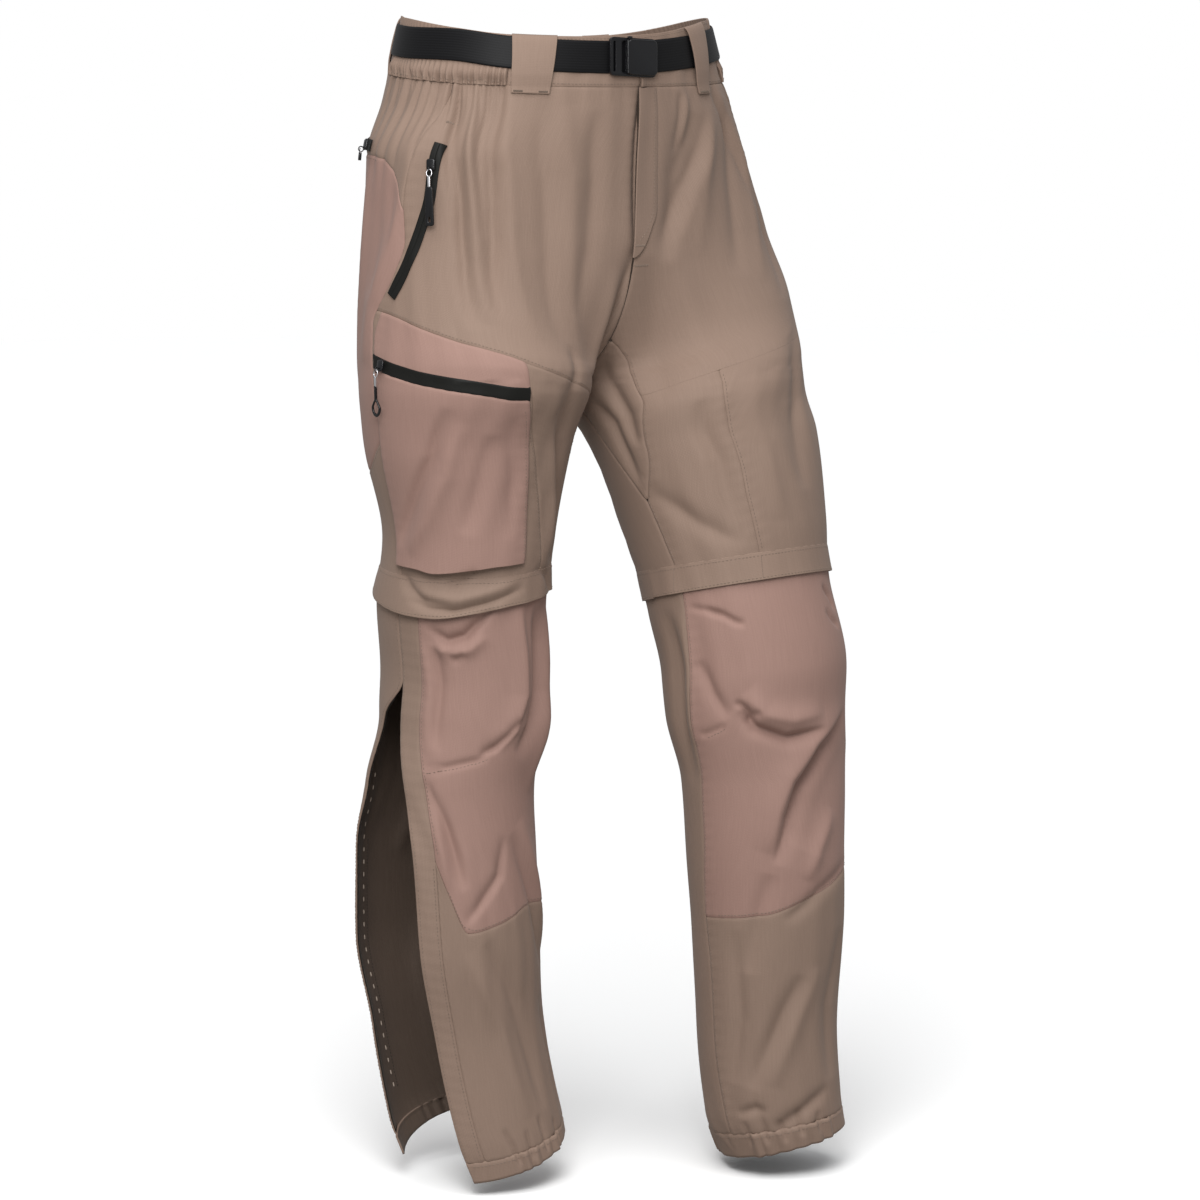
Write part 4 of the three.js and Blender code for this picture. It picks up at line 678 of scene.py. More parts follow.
def panel_grid(side, seams, top, bottom, step=3.0):
    """The places of a panel between two seams down and two cuts across."""
    ends = np.array([0.0, 0.5, 1.0])
    tops = edge_depths(seams, ends, top)
    bottoms = edge_depths(seams, ends, bottom)
    middle = (tops + bottoms) / 2
    widths = np.abs(seams[1](middle) - seams[0](middle)) * girth(side, middle)
    shares_across = spread(max(float(widths.max()), 8), step)
    shares_down = spread(max(float((bottoms - tops).max()), 8), step)
    share, drop = np.meshgrid(shares_across, shares_down)
    top_depth = edge_depths(seams, share, top)
    bottom_depth = edge_depths(seams, share, bottom)
    depth = top_depth * (1 - drop) + bottom_depth * drop
    around = seams[0](depth) * (1 - share) + seams[1](depth) * share
    return around, depth


SIDE_NAMES = ((RIGHT, "right"), (LEFT, "left"))

# Waistband: a doubled strip of shell cloth, plain across the front and the back, with elastic in
# each side that draws it into close ruffles, which show below the belt.
WAIST_SEAM = 36
WAIST_EDGE = {
    RIGHT: [(0, -10), (0.17, -9), (0.27, -9.5), (0.39, -13), (0.57, -17), (1, -17)],
    LEFT: [(0, -10), (0.05, -11), (0.14, -15), (0.23, -18), (0.5, -18), (1, -17)],
}
ELASTIC_START = 0.264
ELASTIC_END = 0.62
RUFFLES = 27
RUFFLE_HEIGHT = 3.4
BAND_GIRTH = 520
BAND_HEIGHT = 50
BAND_LIFT = 0.2
BAND_WALL = 1.6
ELASTIC_WALL = 1.2
FRONT_LENGTH = 137
BACK_LENGTH = 380
LAP_HEIGHT = 2.2
LAP_REACH = 5


def band_grid(side, start, end, step):
    """The places of a stretch of the waistband."""
    share, down = np.meshgrid(spread(abs(end - start) * BAND_GIRTH, step), spread(BAND_HEIGHT, 3))
    around = start + (end - start) * share
    edge = curve_through(WAIST_EDGE[side], around)
    return around, edge + (WAIST_SEAM - edge) * down, share


for side, side_name in SIDE_NAMES:
    around, depth, share = band_grid(side, 0, ELASTIC_START, 3.4)
    lap = LAP_HEIGHT * np.exp(-((share * FRONT_LENGTH / LAP_REACH) ** 2)) * np.clip((depth - 16) / 12, 0, 1)
    front = sewn_piece(f"waistband_front_{side_name}_cloth", side, around, depth,
                       BAND_LIFT + (lap if side == LEFT else 0), shell_cloth, "rb", BAND_WALL, shell_cloth)
    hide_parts(f"waistband_front_{side_name}")
    around, depth, share = band_grid(side, ELASTIC_START, ELASTIC_END, 1.1)
    shown = np.clip((depth - 18) / 8, 0, 1) * 0.85 + 0.15
    beat = 2 * math.pi * RUFFLES * share + 1.9 * np.sin(9.1 * share + side) + 0.8 * np.sin(23 * share)
    crest = (0.5 + 0.5 * np.sin(beat)) ** 0.7
    wave = RUFFLE_HEIGHT * shown * crest * (0.75 + 0.25 * np.sin(13 * share + 1.3))
    sides = sewn_piece(f"waistband_elastic_{side_name}_cloth", side, around, depth, wave, shell_cloth, "lrb",
                       ELASTIC_WALL, shell_cloth)
    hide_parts(f"waistband_elastic_{side_name}")

# The back of the band runs from one elastic to the other, each half on its own side's form
share, down = np.meshgrid(spread(BACK_LENGTH, 3.4), spread(BAND_HEIGHT, 3))
around = 1 - (1 - ELASTIC_END) * np.abs(1 - 2 * share)
laid = {}
for side in (RIGHT, LEFT):
    edge = curve_through(WAIST_EDGE[side], around)
    laid[side] = cloth_points(side, around, edge + (WAIST_SEAM - edge) * down, BAND_LIFT)
back_band = across_both("waistband_back_cloth", share <= 0.5, laid, shell_cloth, BAND_WALL)
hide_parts("waistband_back")

# Belt: flat polypropylene webbing, 26 mm wide, that runs through the loops all round. Its smooth
# filaments are woven with fine ribs along its length, so it looks black with a soft gloss.
BELT_LINE = {
    RIGHT: [(0, 9.5), (0.17, 8), (0.27, 6), (0.39, 2), (0.56, 4), (1, 4)],
    LEFT: [(0, 9.5), (0.13, 6.5), (0.25, 3.5), (0.5, 2), (1, 4)],
}
BELT_WIDTH = 26
BELT_THICKNESS = 1.7
BELT_LIFT = 0.7
RIB_PITCH = 0.0022
PICK_PITCH = 0.0016

webbing = blank_material("polypropylene_webbing")
webbing_map = add_node(webbing, "ShaderNodeUVMap", {"uv_map": "cloth"})
ribs = add_node(webbing, "ShaderNodeTexWave", {"bands_direction": "Y"},
                {"Scale": WAVE_OF_ONE / RIB_PITCH, "Distortion": 0.3}, {"Vector": webbing_map.outputs[0]})
picks = add_node(webbing, "ShaderNodeTexWave", {"bands_direction": "X"},
                 {"Scale": WAVE_OF_ONE / PICK_PITCH, "Distortion": 0.4}, {"Vector": webbing_map.outputs[0]})
webbing_relief = add_node(webbing, "ShaderNodeMath", {"operation": "MULTIPLY_ADD"}, {1: 0.4},
                          {0: picks.outputs["Fac"], 2: ribs.outputs["Fac"]})
webbing_bump = add_node(webbing, "ShaderNodeBump", sockets={"Strength": 0.25, "Distance": 0.0002},
                        links={"Height": webbing_relief.outputs[0]})
webbing_tone = add_node(webbing, "ShaderNodeMix", {"data_type": "RGBA"},
                        {6: linear("#0b0b0c"), 7: linear("#111113")}, {0: ribs.outputs["Fac"]})
webbing_shader = add_node(webbing, "ShaderNodeBsdfPrincipled",
                          sockets={"Roughness": 0.5, "Specular IOR Level": 0.14},
                          links={"Base Color": webbing_tone.outputs[2], "Normal": webbing_bump.outputs[0]})
add_node(webbing, "ShaderNodeOutputMaterial", links={"Surface": webbing_shader.outputs[0]})

belt_down = np.array([0, 0.02, 0.06, 0.2, 0.35, 0.5, 0.65, 0.8, 0.94, 0.98, 1]) - 0.5
edge_drop = np.array([0.5, 0.15, 0, 0, 0, 0, 0, 0, 0, 0.15, 0.5])
share, down = np.meshgrid(np.linspace(0, 1, 360, endpoint=False), belt_down)
around = np.where(share <= 0.5, 2 * share, 2 - 2 * share)
lift = BELT_LIFT - edge_drop[:, None] + 0 * share
laid = {}
for side in (RIGHT, LEFT):
    depth = curve_through(BELT_LINE[side], around) + down * BELT_WIDTH
    laid[side] = form_points(side, around, depth) + lift[..., None] * form_normals(side, around, depth)
belt = across_both("belt_webbing_strap", share <= 0.5, laid, webbing, BELT_THICKNESS, outwards=True,
                   closed=True)
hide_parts("belt_webbing")

# Belt loops: folded straps of shell cloth, sewn down above and below the belt with bar tacks and
# standing clear over it between. The two in front are wide.
LOOP_PATH = [(0, 0.5), (0.05, 2.4), (0.16, 3.6), (0.4, 4.2), (0.62, 3.7), (0.76, 2.4), (0.88, 1.2), (1, 0.8)]
LOOP_COLUMNS = ("name", "side", "top", "bottom", "half_top", "half_bottom")
LOOP_ROWS = [
    ("front_right", RIGHT, 0.219, 0.218, 0.045, 0.036),
    ("front_left", LEFT, 0.163, 0.158, 0.038, 0.018),
    ("back_right", RIGHT, 0.74, 0.74, 0.03, 0.028),
    ("back_left", LEFT, 0.74, 0.74, 0.03, 0.028),
]
LOOP_END = 44.5
LOOP_TOP_GAP = 0.3
LOOP_WALL = 1.3
LOOP_CROWN = 0.5
CENTRE_LOOP_HALF = 0.028
LOOPS = [dict(zip(LOOP_COLUMNS, row)) for row in LOOP_ROWS]
for loop in LOOPS:
    share, drop = np.meshgrid(spread(38, 2.5), np.linspace(0, 1, 40))
    middle = loop["top"] + (loop["bottom"] - loop["top"]) * drop
    half = loop["half_top"] + (loop["half_bottom"] - loop["half_top"]) * drop ** 0.7
    around = middle + (2 * share - 1) * half
    edge = curve_through(WAIST_EDGE[loop["side"]], around) + LOOP_TOP_GAP
    depth = edge + (LOOP_END - edge) * drop
    crown = LOOP_CROWN * (1 - (2 * share - 1) ** 2) * np.sin(math.pi * drop)
    lift = curve_through(LOOP_PATH, drop) + crown
    strap = sewn_piece(f"belt_loop_{loop['name']}_strap", loop["side"], around, depth, lift, shell_cloth, "",
                       LOOP_WALL, shell_cloth, outwards=True, folded=False)
    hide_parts(f"belt_loop_{loop['name']}")

# The loop at the centre back lies half on each side's form
share, drop = np.meshgrid(np.linspace(-1, 1, 14), np.linspace(0, 1, 40))
around = 1 - CENTRE_LOOP_HALF * np.abs(share)
lift = curve_through(LOOP_PATH, drop)
laid = {}
for side in (RIGHT, LEFT):
    edge = curve_through(WAIST_EDGE[side], around) + LOOP_TOP_GAP
    depth = edge + (LOOP_END - edge) * drop
    laid[side] = form_points(side, around, depth) + lift[..., None] * form_normals(side, around, depth)
centre_loop = across_both("belt_loop_back_centre_strap", share < 0, laid, shell_cloth, LOOP_WALL,
                          outwards=True)
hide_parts("belt_loop_back_centre")

# Hips, seat and thighs: shell cloth but for the finer panel over the seat, cut from shaped panels
# that meet at narrow turned seams; a gusset is let in at the crotch.
GUSSET_TOP = 240
GUSSET_BOTTOM = 406
GUSSET_END = 409
GUSSET_FRONT = [(-30, 0), (236, 0), (246, 0.02), (264, 0.048), (310, 0.088), (329, 0.102), (365, 0.096),
                (409, 0.06)]
GUSSET_BACK = [(-30, 0), (300, 0), (328, 0.008), (351, 0.018), (380, 0.038), (409, 0.06)]
INSEAM = [(409, 0.06), (440, 0.064), (474, 0.066), (547, 0.048), (636, 0.022), (701, -0.004), (778, -0.018),
          (819, -0.01), (900, -0.004), (962, 0.012), (994, 0.015)]
THIGH_SEAM = {
    RIGHT: [(-30, 0.264), (44, 0.27), (170, 0.285), (286, 0.292), (378, 0.238), (474, 0.188)],
    LEFT: [(-30, 0.264), (44, 0.25), (200, 0.2), (280, 0.168), (312, 0.19), (349, 0.219), (382, 0.222),
           (418, 0.216), (474, 0.213)],
}
SIDE_SEAM = [(-30, 0.385), (44, 0.385), (110, 0.43), (150, 0.45), (182, 0.455), (207, 0.482), (229, 0.512),
             (252, 0.534), (284, 0.532), (349, 0.505), (368, 0.494), (420, 0.495), (474, 0.5)]
YOKE_SEAM = {
    RIGHT: [(0, 320), (0.095, 318), (0.15, 310), (0.208, 299), (0.268, 287), (0.316, 276), (0.368, 268),
            (0.426, 257), (0.48, 247), (0.54, 240)],
    LEFT: [(0, 322), (0.095, 318), (0.13, 308), (0.156, 301), (0.196, 290), (0.238, 281), (0.282, 275),
           (0.414, 262), (0.54, 252)],
}
SEAT_TOP = [(0.45, 156), (0.48, 130), (0.536, 112), (0.61, 109), (0.8, 107), (1, 105)]
SEAT_BOTTOM = [(0.5, 347), (0.584, 380), (0.7, 385), (0.85, 352), (0.95, 318), (1, 300)]
THIGH_END = 474
PANEL_COLUMNS = ("piece", "seams", "top", "bottom", "cloth", "width", "length", "area", "step", "dips")


def inner_front(depth):
    """The gusset's front seam, and the inseam below it."""
    return np.where(depth < GUSSET_END, curve_through(GUSSET_FRONT, depth), curve_through(INSEAM, depth))


def inner_back(depth):
    """The gusset's back seam, and the inseam below it."""
    return np.where(depth < GUSSET_END, curve_through(GUSSET_BACK, depth), curve_through(INSEAM, depth))


def behind(line):
    """The same seam, reached round the back."""
    return lambda depth: 1 + line(depth)


def lay_panels(side, side_name, rows):
    """Lays each panel of a table and replaces its solid."""
    for row in rows:
        panel = dict(zip(PANEL_COLUMNS, row))
        around, depth = panel_grid(side, panel["seams"], panel["top"], panel["bottom"], panel["step"])
        name = f"{panel['piece']}_{side_name}"
        piece = sewn_piece(f"{name}_cloth", side, around, depth, 0, panel["cloth"], panel["dips"])
        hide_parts(name)


for side, side_name in SIDE_NAMES:
    thigh_seam = table_line(THIGH_SEAM[side])
    side_seam = table_line(SIDE_SEAM)
    yoke = table_line(YOKE_SEAM[side])
    seat_top = table_line(SEAT_TOP)
    seat_bottom = table_line(SEAT_BOTTOM)
    # The yoke seam lies flat on the left front, so the cloth dips into it on the right only
    hip_dips, thigh_dips = ("lrt", "lrb") if side == LEFT else ("lrtb", "lrtb")
    lay_panels(side, side_name, [
        ("hip_front", (inner_front, side_seam), straight(WAIST_SEAM), yoke,
         shell_cloth, 0.29, 0.29, 0.06, 2.6, hip_dips),
        ("yoke_back", (side_seam, behind(inner_back)), straight(WAIST_SEAM), seat_top,
         shell_cloth, 0.3, 0.13, 0.024, 4, "lrtb"),
        ("seat", (side_seam, behind(inner_back)), seat_top, seat_bottom,
         panel_cloth, 0.32, 0.3, 0.075, 4.2, "lrtb"),
        ("gusset", (inner_back, inner_front), straight(GUSSET_TOP), straight(GUSSET_BOTTOM),
         shell_cloth, 0.06, 0.17, 0.0065, 3, "lrtb"),
        ("thigh_front", (inner_front, thigh_seam), yoke, straight(THIGH_END),
         shell_cloth, 0.12, 0.19, 0.015, 2.6, thigh_dips),
        ("thigh_side", (thigh_seam, side_seam), yoke, straight(THIGH_END),
         shell_cloth, 0.18, 0.24, 0.035, 2.8, thigh_dips),
        ("thigh_back", (side_seam, behind(inner_back)), seat_bottom, straight(THIGH_END),
         shell_cloth, 0.3, 0.19, 0.036, 4.2, "lrtb"),
    ])

# Fly: the left front's placket laps the right front and is stitched down in a J; its free edge
# stands a little proud.
FLY_SIZE = (24, 140)
FLY_START = -0.007
FLY_REACH = 0.044
FLY_TOP = 37
FLY_FOOT = 183
FLY_CURVE = 36
FLY_LIFT = 0.7
FLY_FREE_EDGE = 1.9
FLY_SEWN_EDGE = 2.3
FLY_WALL = 1.2
around_share, drop = np.meshgrid(spread(FLY_SIZE[0], 2), spread(FLY_SIZE[1], 3.4))
fly_around = FLY_START + FLY_REACH * around_share
fly_end = FLY_FOOT - FLY_CURVE * around_share ** 2
fly_depth = FLY_TOP + (fly_end - FLY_TOP) * drop
sewn_edge = np.clip((np.maximum(around_share, (drop - 0.9) * 6) - 0.72) / 0.28, 0, 1)
fly_lift = FLY_LIFT + FLY_FREE_EDGE * (1 - around_share) ** 3 - FLY_SEWN_EDGE * sewn_edge ** 2
fly = sewn_piece("fly_placket_cloth", LEFT, fly_around, fly_depth, fly_lift, shell_cloth, "", FLY_WALL,
                 shell_cloth, outwards=True)
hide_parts("fly_placket")

# Zip-off joint: a ring zip round each thigh, covered by a doubled flap of shell cloth that hangs
# over it. On the right leg the flap slumps into a crease in front.
FLAP_TOP = 466
ZIP_OFF_BOTTOM = 486
FLAP_BOTTOM = {
    RIGHT: [(0, 490), (0.18, 489), (0.27, 489), (0.33, 492), (0.42, 497), (0.5, 496), (0.6, 493), (1, 490)],
    LEFT: [(0, 490), (1, 491)],
}
FLAP_STAND = {RIGHT: 4.2, LEFT: 2.9}
FLAP_ROOT = -1.3
FLAP_WALL = 1.3
SLUMP_HEIGHT = {RIGHT: 2.5, LEFT: 0}
SLUMP_PLACE = 0.38
SLUMP_REACH = 0.1
TEETH_PITCH = 0.0018

# The zips' tape is knitted polyester, dyed dark brown. It looks matt, with fine ribs across it.
zip_tape = blank_material("polyester_zip_tape")
tape_map = add_node(zip_tape, "ShaderNodeUVMap", {"uv_map": "cloth"})
tape_rib = add_node(zip_tape, "ShaderNodeTexWave", {"bands_direction": "X"},
                    {"Scale": WAVE_OF_ONE / TEETH_PITCH}, {"Vector": tape_map.outputs[0]})
tape_bump = add_node(zip_tape, "ShaderNodeBump", sockets={"Strength": 0.4, "Distance": 0.0003},
                     links={"Height": tape_rib.outputs["Fac"]})
tape_tone = add_node(zip_tape, "ShaderNodeMix", {"data_type": "RGBA"},
                     {6: linear("#17120e"), 7: linear("#221c16")}, {0: tape_rib.outputs["Fac"]})
tape_shader = add_node(zip_tape, "ShaderNodeBsdfPrincipled",
                       sockets={"Roughness": 0.7, "Specular IOR Level": 0.2},
                       links={"Base Color": tape_tone.outputs[2], "Normal": tape_bump.outputs[0]})
add_node(zip_tape, "ShaderNodeOutputMaterial", links={"Surface": tape_shader.outputs[0]})

for side, side_name in SIDE_NAMES:
    share, drop = np.meshgrid(np.linspace(0, 1, 120, endpoint=False), np.linspace(0, 1, 6))
    depth = THIGH_END + (ZIP_OFF_BOTTOM - THIGH_END) * drop
    ring = sewn_piece(f"zip_off_ring_{side_name}_tape", side, share, depth, 0.0, zip_tape, "", 1.0, zip_tape,
                      closed=True)
    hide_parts(f"zip_off_ring_{side_name}")
    share, drop = np.meshgrid(np.linspace(0, 1, 200, endpoint=False), spread(28, 1.6))
    end = curve_through(FLAP_BOTTOM[side], share)
    depth = FLAP_TOP + (end - FLAP_TOP) * drop
    slump = SLUMP_HEIGHT[side] * np.exp(-(((share - SLUMP_PLACE) / SLUMP_REACH) ** 2))
    wander = 0.5 * np.sin(2 * math.pi * share * 5 + side) + 0.3 * np.sin(2 * math.pi * share * 11)
    lift = FLAP_ROOT + (FLAP_STAND[side] + slump + wander) * drop ** 0.8
    flap = sewn_piece(f"zip_off_flap_{side_name}_cloth", side, share, depth, lift, shell_cloth, "", FLAP_WALL,
                      shell_cloth, outwards=True, closed=True)
    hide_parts(f"zip_off_flap_{side_name}")

# Lower legs: a pinker articulated knee panel over a shell-cloth shin, a narrow strip before the
# side zip, and one long back piece. The right side zip is open from the knee down.
HEM_SEAM = 975
STRIP_SEAM = [(480, 0.45), (1000, 0.452)]
KNEE_BOTTOM = {
    RIGHT: [(-0.02, 776), (0.1, 772), (0.224, 767), (0.31, 777), (0.392, 783), (0.425, 752), (0.452, 717)],
    LEFT: [(-0.02, 780), (0.118, 778), (0.198, 770), (0.356, 750), (0.41, 738), (0.452, 717)],
}
SLIT_FRONT = 0.4995
SLIT_BACK = 0.5
ZIP_REACH = 0.011
ZIP_START = 516
ZIP_TAPER = 31


def zip_reach(depth):
    """Half the width of the closed side zip, which starts in the side seam."""
    return ZIP_REACH * np.clip((depth - ZIP_START) / ZIP_TAPER, 0, 1)


def inseam(depth):
    """The seam up the inside of the leg."""
    return curve_through(INSEAM, depth)


for side, side_name in SIDE_NAMES:
    strip_seam = table_line(STRIP_SEAM)
    knee_end = table_line(KNEE_BOTTOM[side])
    if side == RIGHT:
        front_edge = straight(SLIT_FRONT)
        back_edge = straight(SLIT_BACK)
    else:
        front_edge = lambda depth: 0.5 - zip_reach(depth)
        back_edge = lambda depth: 0.5 + zip_reach(depth)
    lay_panels(side, side_name, [
        ("knee", (inseam, strip_seam), straight(ZIP_OFF_BOTTOM), knee_end,
         panel_cloth, 0.23, 0.31, 0.056, 2.2, "lrtb"),
        ("shin", (inseam, strip_seam), knee_end, straight(HEM_SEAM),
         shell_cloth, 0.23, 0.27, 0.037, 2.8, "lrtb"),
        ("side_strip", (strip_seam, front_edge), straight(ZIP_OFF_BOTTOM), straight(HEM_SEAM),
         shell_cloth, 0.03, 0.49, 0.0095, 3, "lrtb"),
        ("lower_back", (back_edge, behind(inseam)), straight(ZIP_OFF_BOTTOM), straight(HEM_SEAM),
         shell_cloth, 0.27, 0.5, 0.1, 4.6, "lrtb"),
    ])

# Hems: narrow bands of shell cloth turned up over a thin elastic and sewn round. The elastic draws
# them into ruffles on the outer front and behind.
HEM_END = {RIGHT: 989, LEFT: 994}
HEM_GATHER = 3.2
HEM_TUCK = 1.2
HEM_WALL = 1.8


def hem_wave(share, waves, start, end):
    """Ruffles between two places along a hem, uneven in height."""
    inside_run = np.clip((share - start) / 0.03, 0, 1) * np.clip((end - share) / 0.03, 0, 1)
    beat = 2 * math.pi * share * waves + 1.5 * np.sin(17 * share)
    return HEM_GATHER * inside_run * (0.5 + 0.5 * np.sin(beat)) ** 0.6 * (0.7 + 0.3 * np.sin(31 * share))


def hem_depth(side, drop):
    """The depth at each share down a hem, whose top edge is tucked behind the leg's."""
    return HEM_SEAM - HEM_TUCK + (HEM_END[side] - HEM_SEAM + HEM_TUCK) * drop


def tuck(side, drop):
    """How far a hem's top edge lies behind the leg's."""
    return -0.7 * np.clip(1 - (hem_depth(side, drop) - HEM_SEAM + HEM_TUCK) / (HEM_TUCK + 0.6), 0, 1)


share, drop = np.meshgrid(np.linspace(0, 1, 220), np.linspace(0, 1, 9))
start = float(inseam(980.0))
around = start + (SLIT_FRONT - start) * share
front_hem = sewn_piece("hem_front_right_cloth", RIGHT, around, hem_depth(RIGHT, drop),
                       hem_wave(share, 15, 0.4, 0.8) + tuck(RIGHT, drop), shell_cloth, "t", HEM_WALL)
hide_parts("hem_front_right")
around = SLIT_BACK + (0.5 + start) * share
back_hem = sewn_piece("hem_back_right_cloth", RIGHT, around, hem_depth(RIGHT, drop),
                      hem_wave(share, 14, 0.3, 0.8) + tuck(RIGHT, drop), shell_cloth, "t", HEM_WALL)
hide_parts("hem_back_right")
share, drop = np.meshgrid(np.linspace(0, 1, 420, endpoint=False), np.linspace(0, 1, 10))
both = hem_wave(share, 28, 0.05, 0.3) + hem_wave(share, 28, 0.6, 0.9) + tuck(LEFT, drop)
left_hem = sewn_piece("hem_left_cloth", LEFT, share, hem_depth(LEFT, drop), both, shell_cloth, "t", HEM_WALL,
                      closed=True)
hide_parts("hem_left")

# Pocket zips: welded, coated tape with the coil behind it, so that only a flat black band shows, with
# a fine line down its middle.
ZIP_WIDTH = 11
BAND_WIDTH = 9.8
TAPE_LIFT = 0.5
TAPE_WALL = 0.9

def grained(name, deep, light, grains, relief, finish):
    """A finish mottled by fine grains, which are counted across the whole piece."""
    count, detail = grains
    strength, height = relief
    material = blank_material(name)
    grain = add_node(material, "ShaderNodeTexNoise", sockets={"Scale": count, "Detail": detail})
    tone = add_node(material, "ShaderNodeMix", {"data_type": "RGBA"}, {6: linear(deep), 7: linear(light)},
                    {0: grain.outputs["Fac"]})
    bump = add_node(material, "ShaderNodeBump", sockets={"Strength": strength, "Distance": height},
                    links={"Height": grain.outputs["Fac"]})
    shader = add_node(material, "ShaderNodeBsdfPrincipled", sockets=finish,
                      links={"Base Color": tone.outputs[2], "Normal": bump.outputs[0]})
    add_node(material, "ShaderNodeOutputMaterial", links={"Surface": shader.outputs[0]})
    return material


# The tape's coating is matt black polyurethane. It looks flat and even, with a soft grey shine.
coated_tape = grained("coated_zip_tape", "#11110f", "#191917", (900.0, 2.0), (0.25, 0.0002),
                      {"Roughness": 0.55, "Specular IOR Level": 0.16})
HAND_ZIP = {
    RIGHT: [(0.371, 96), (0.382, 120), (0.392, 145), (0.408, 165), (0.427, 184), (0.458, 207), (0.475, 218),
            (0.492, 229)],
    LEFT: [(0.401, 96), (0.411, 120), (0.419, 145), (0.432, 165), (0.446, 184), (0.468, 207), (0.482, 218),
           (0.496, 229)],
}
BACK_ZIP = [(0.6, 101), (0.65, 100), (0.705, 99), (0.765, 98), (0.815, 98)]


def tape_grid(side, path, width, rows, columns):
    """The places of a tape along a path, as wide as named."""
    stops = np.asarray(path, float)
    ticks = np.arange(len(stops))
    at = np.linspace(0, len(stops) - 1, rows)
    middle_u = curve_through(np.stack([ticks, stops[:, 0]], 1), at)
    middle_v = curve_through(np.stack([ticks, stops[:, 1]], 1), at)
    nudge = form_points(side, middle_u + 0.01, middle_v) - form_points(side, middle_u - 0.01, middle_v)
    per_turn = np.linalg.norm(nudge, axis=-1) / 0.02
    run_x = np.gradient(middle_u) * per_turn
    run_y = np.gradient(middle_v)
    size = np.hypot(run_x, run_y)
    reach = (np.asarray(columns)[None, :] - 0.5) * width
    around = middle_u[:, None] + reach * (run_y / size / per_turn)[:, None]
    depth = middle_v[:, None] - reach * (run_x / size)[:, None]
    return around, depth


TAPE_ACROSS = np.array([0, 0.06, 0.15, 0.3, 0.42, 0.47, 0.5, 0.53, 0.58, 0.7, 0.85, 0.94, 1])
TAPE_CROWN = np.array([-0.3, 0.1, 0.25, 0.4, 0.5, 0.3, -0.2, 0.3, 0.5, 0.4, 0.25, 0.1, -0.3])


def pocket_zip(name, side, path):
    """A coated zip along a path, welded over a slot in the cloth."""
    around, depth = tape_grid(side, path, BAND_WIDTH, 90, TAPE_ACROSS)
    lift = TAPE_LIFT + 0.4 * TAPE_CROWN[None, :] + 0 * around
    band = sewn_piece(f"{name}_band", side, around, depth, lift, coated_tape, "", TAPE_WALL, coated_tape,
                      outwards=True)
    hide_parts(name)


for side, side_name in SIDE_NAMES:
    pocket_zip(f"hand_zip_{side_name}", side, HAND_ZIP[side])
pocket_zip("back_zip_right", RIGHT, BACK_ZIP)

# Cargo pocket: the finer panel cloth over the right thigh, with a coated zip between its top piece
# and its bag, which hangs a little full and stands off at its bottom edge.
CARGO_FRONT = [(250, 0.289), (286, 0.287), (316, 0.286), (334, 0.274), (352, 0.264), (386, 0.256),
               (420, 0.253), (474, 0.251)]
CARGO_ZIP = [(0.26, 311.5), (0.302, 311), (0.36, 306), (0.432, 299), (0.52, 286), (0.54, 283)]
CARGO_BACK = [(240, 0.515), (266, 0.528), (300, 0.522), (338, 0.512), (412, 0.512), (474, 0.508)]
CARGO_BOTTOM = [(0.24, 456), (0.3, 456.5), (0.36, 459), (0.42, 461.5), (0.455, 459), (0.51, 458)]
cargo_seams = (table_line(CARGO_FRONT), table_line(CARGO_BACK))
cargo_line = table_line(CARGO_ZIP)
CARGO_LIFT = 0.9
CARGO_WALL = 1.1
CARGO_FULLNESS = 4.5
CARGO_STAND_OFF = 2.0
ZIP_LAP = 1


def by_cargo_zip(shift):
    """A line that runs beside the middle of the cargo pocket's zip."""
    return lambda around: cargo_line(around) + shift


around, depth = panel_grid(RIGHT, cargo_seams, table_line(YOKE_SEAM[RIGHT]), by_cargo_zip(-ZIP_WIDTH / 2))
cargo_top = sewn_piece("cargo_top_right_cloth", RIGHT, around, depth, CARGO_LIFT, panel_cloth, "lrt",
                       CARGO_WALL, panel_cloth)
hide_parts("cargo_top_right")
around, depth = panel_grid(RIGHT, cargo_seams, by_cargo_zip(-ZIP_WIDTH / 2 - ZIP_LAP),
                           by_cargo_zip(ZIP_WIDTH / 2 + ZIP_LAP))
rows_share = np.linspace(0, 1, around.shape[0])[:, None]
groove = -0.3 * np.exp(-(((rows_share - 0.5) * 11 / 0.8) ** 2))
tucked = np.exp(-((rows_share * 12 / 1.3) ** 2)) + np.exp(-(((1 - rows_share) * 12 / 1.3) ** 2))
cargo_zip = sewn_piece("cargo_zip_right_band", RIGHT, around, depth, CARGO_LIFT + 0.3 + groove - 0.9 * tucked,
                       coated_tape, "", TAPE_WALL, coated_tape)
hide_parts("cargo_zip_right")
around, depth = panel_grid(RIGHT, cargo_seams, by_cargo_zip(ZIP_WIDTH / 2), table_line(CARGO_BOTTOM))
across_share = np.linspace(0, 1, around.shape[1])[None, :]
down_share = (depth - depth[:1]) / (depth[-1:] - depth[:1])
belly = CARGO_FULLNESS * np.sin(math.pi * across_share) * np.sin(math.pi / 2 * down_share)
belly = belly + CARGO_STAND_OFF * down_share
cargo_bag = sewn_piece("cargo_bag_right_cloth", RIGHT, around, depth, CARGO_LIFT + 0.6 + belly, panel_cloth,
                       "lrt", CARGO_WALL, panel_cloth)
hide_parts("cargo_bag_right")

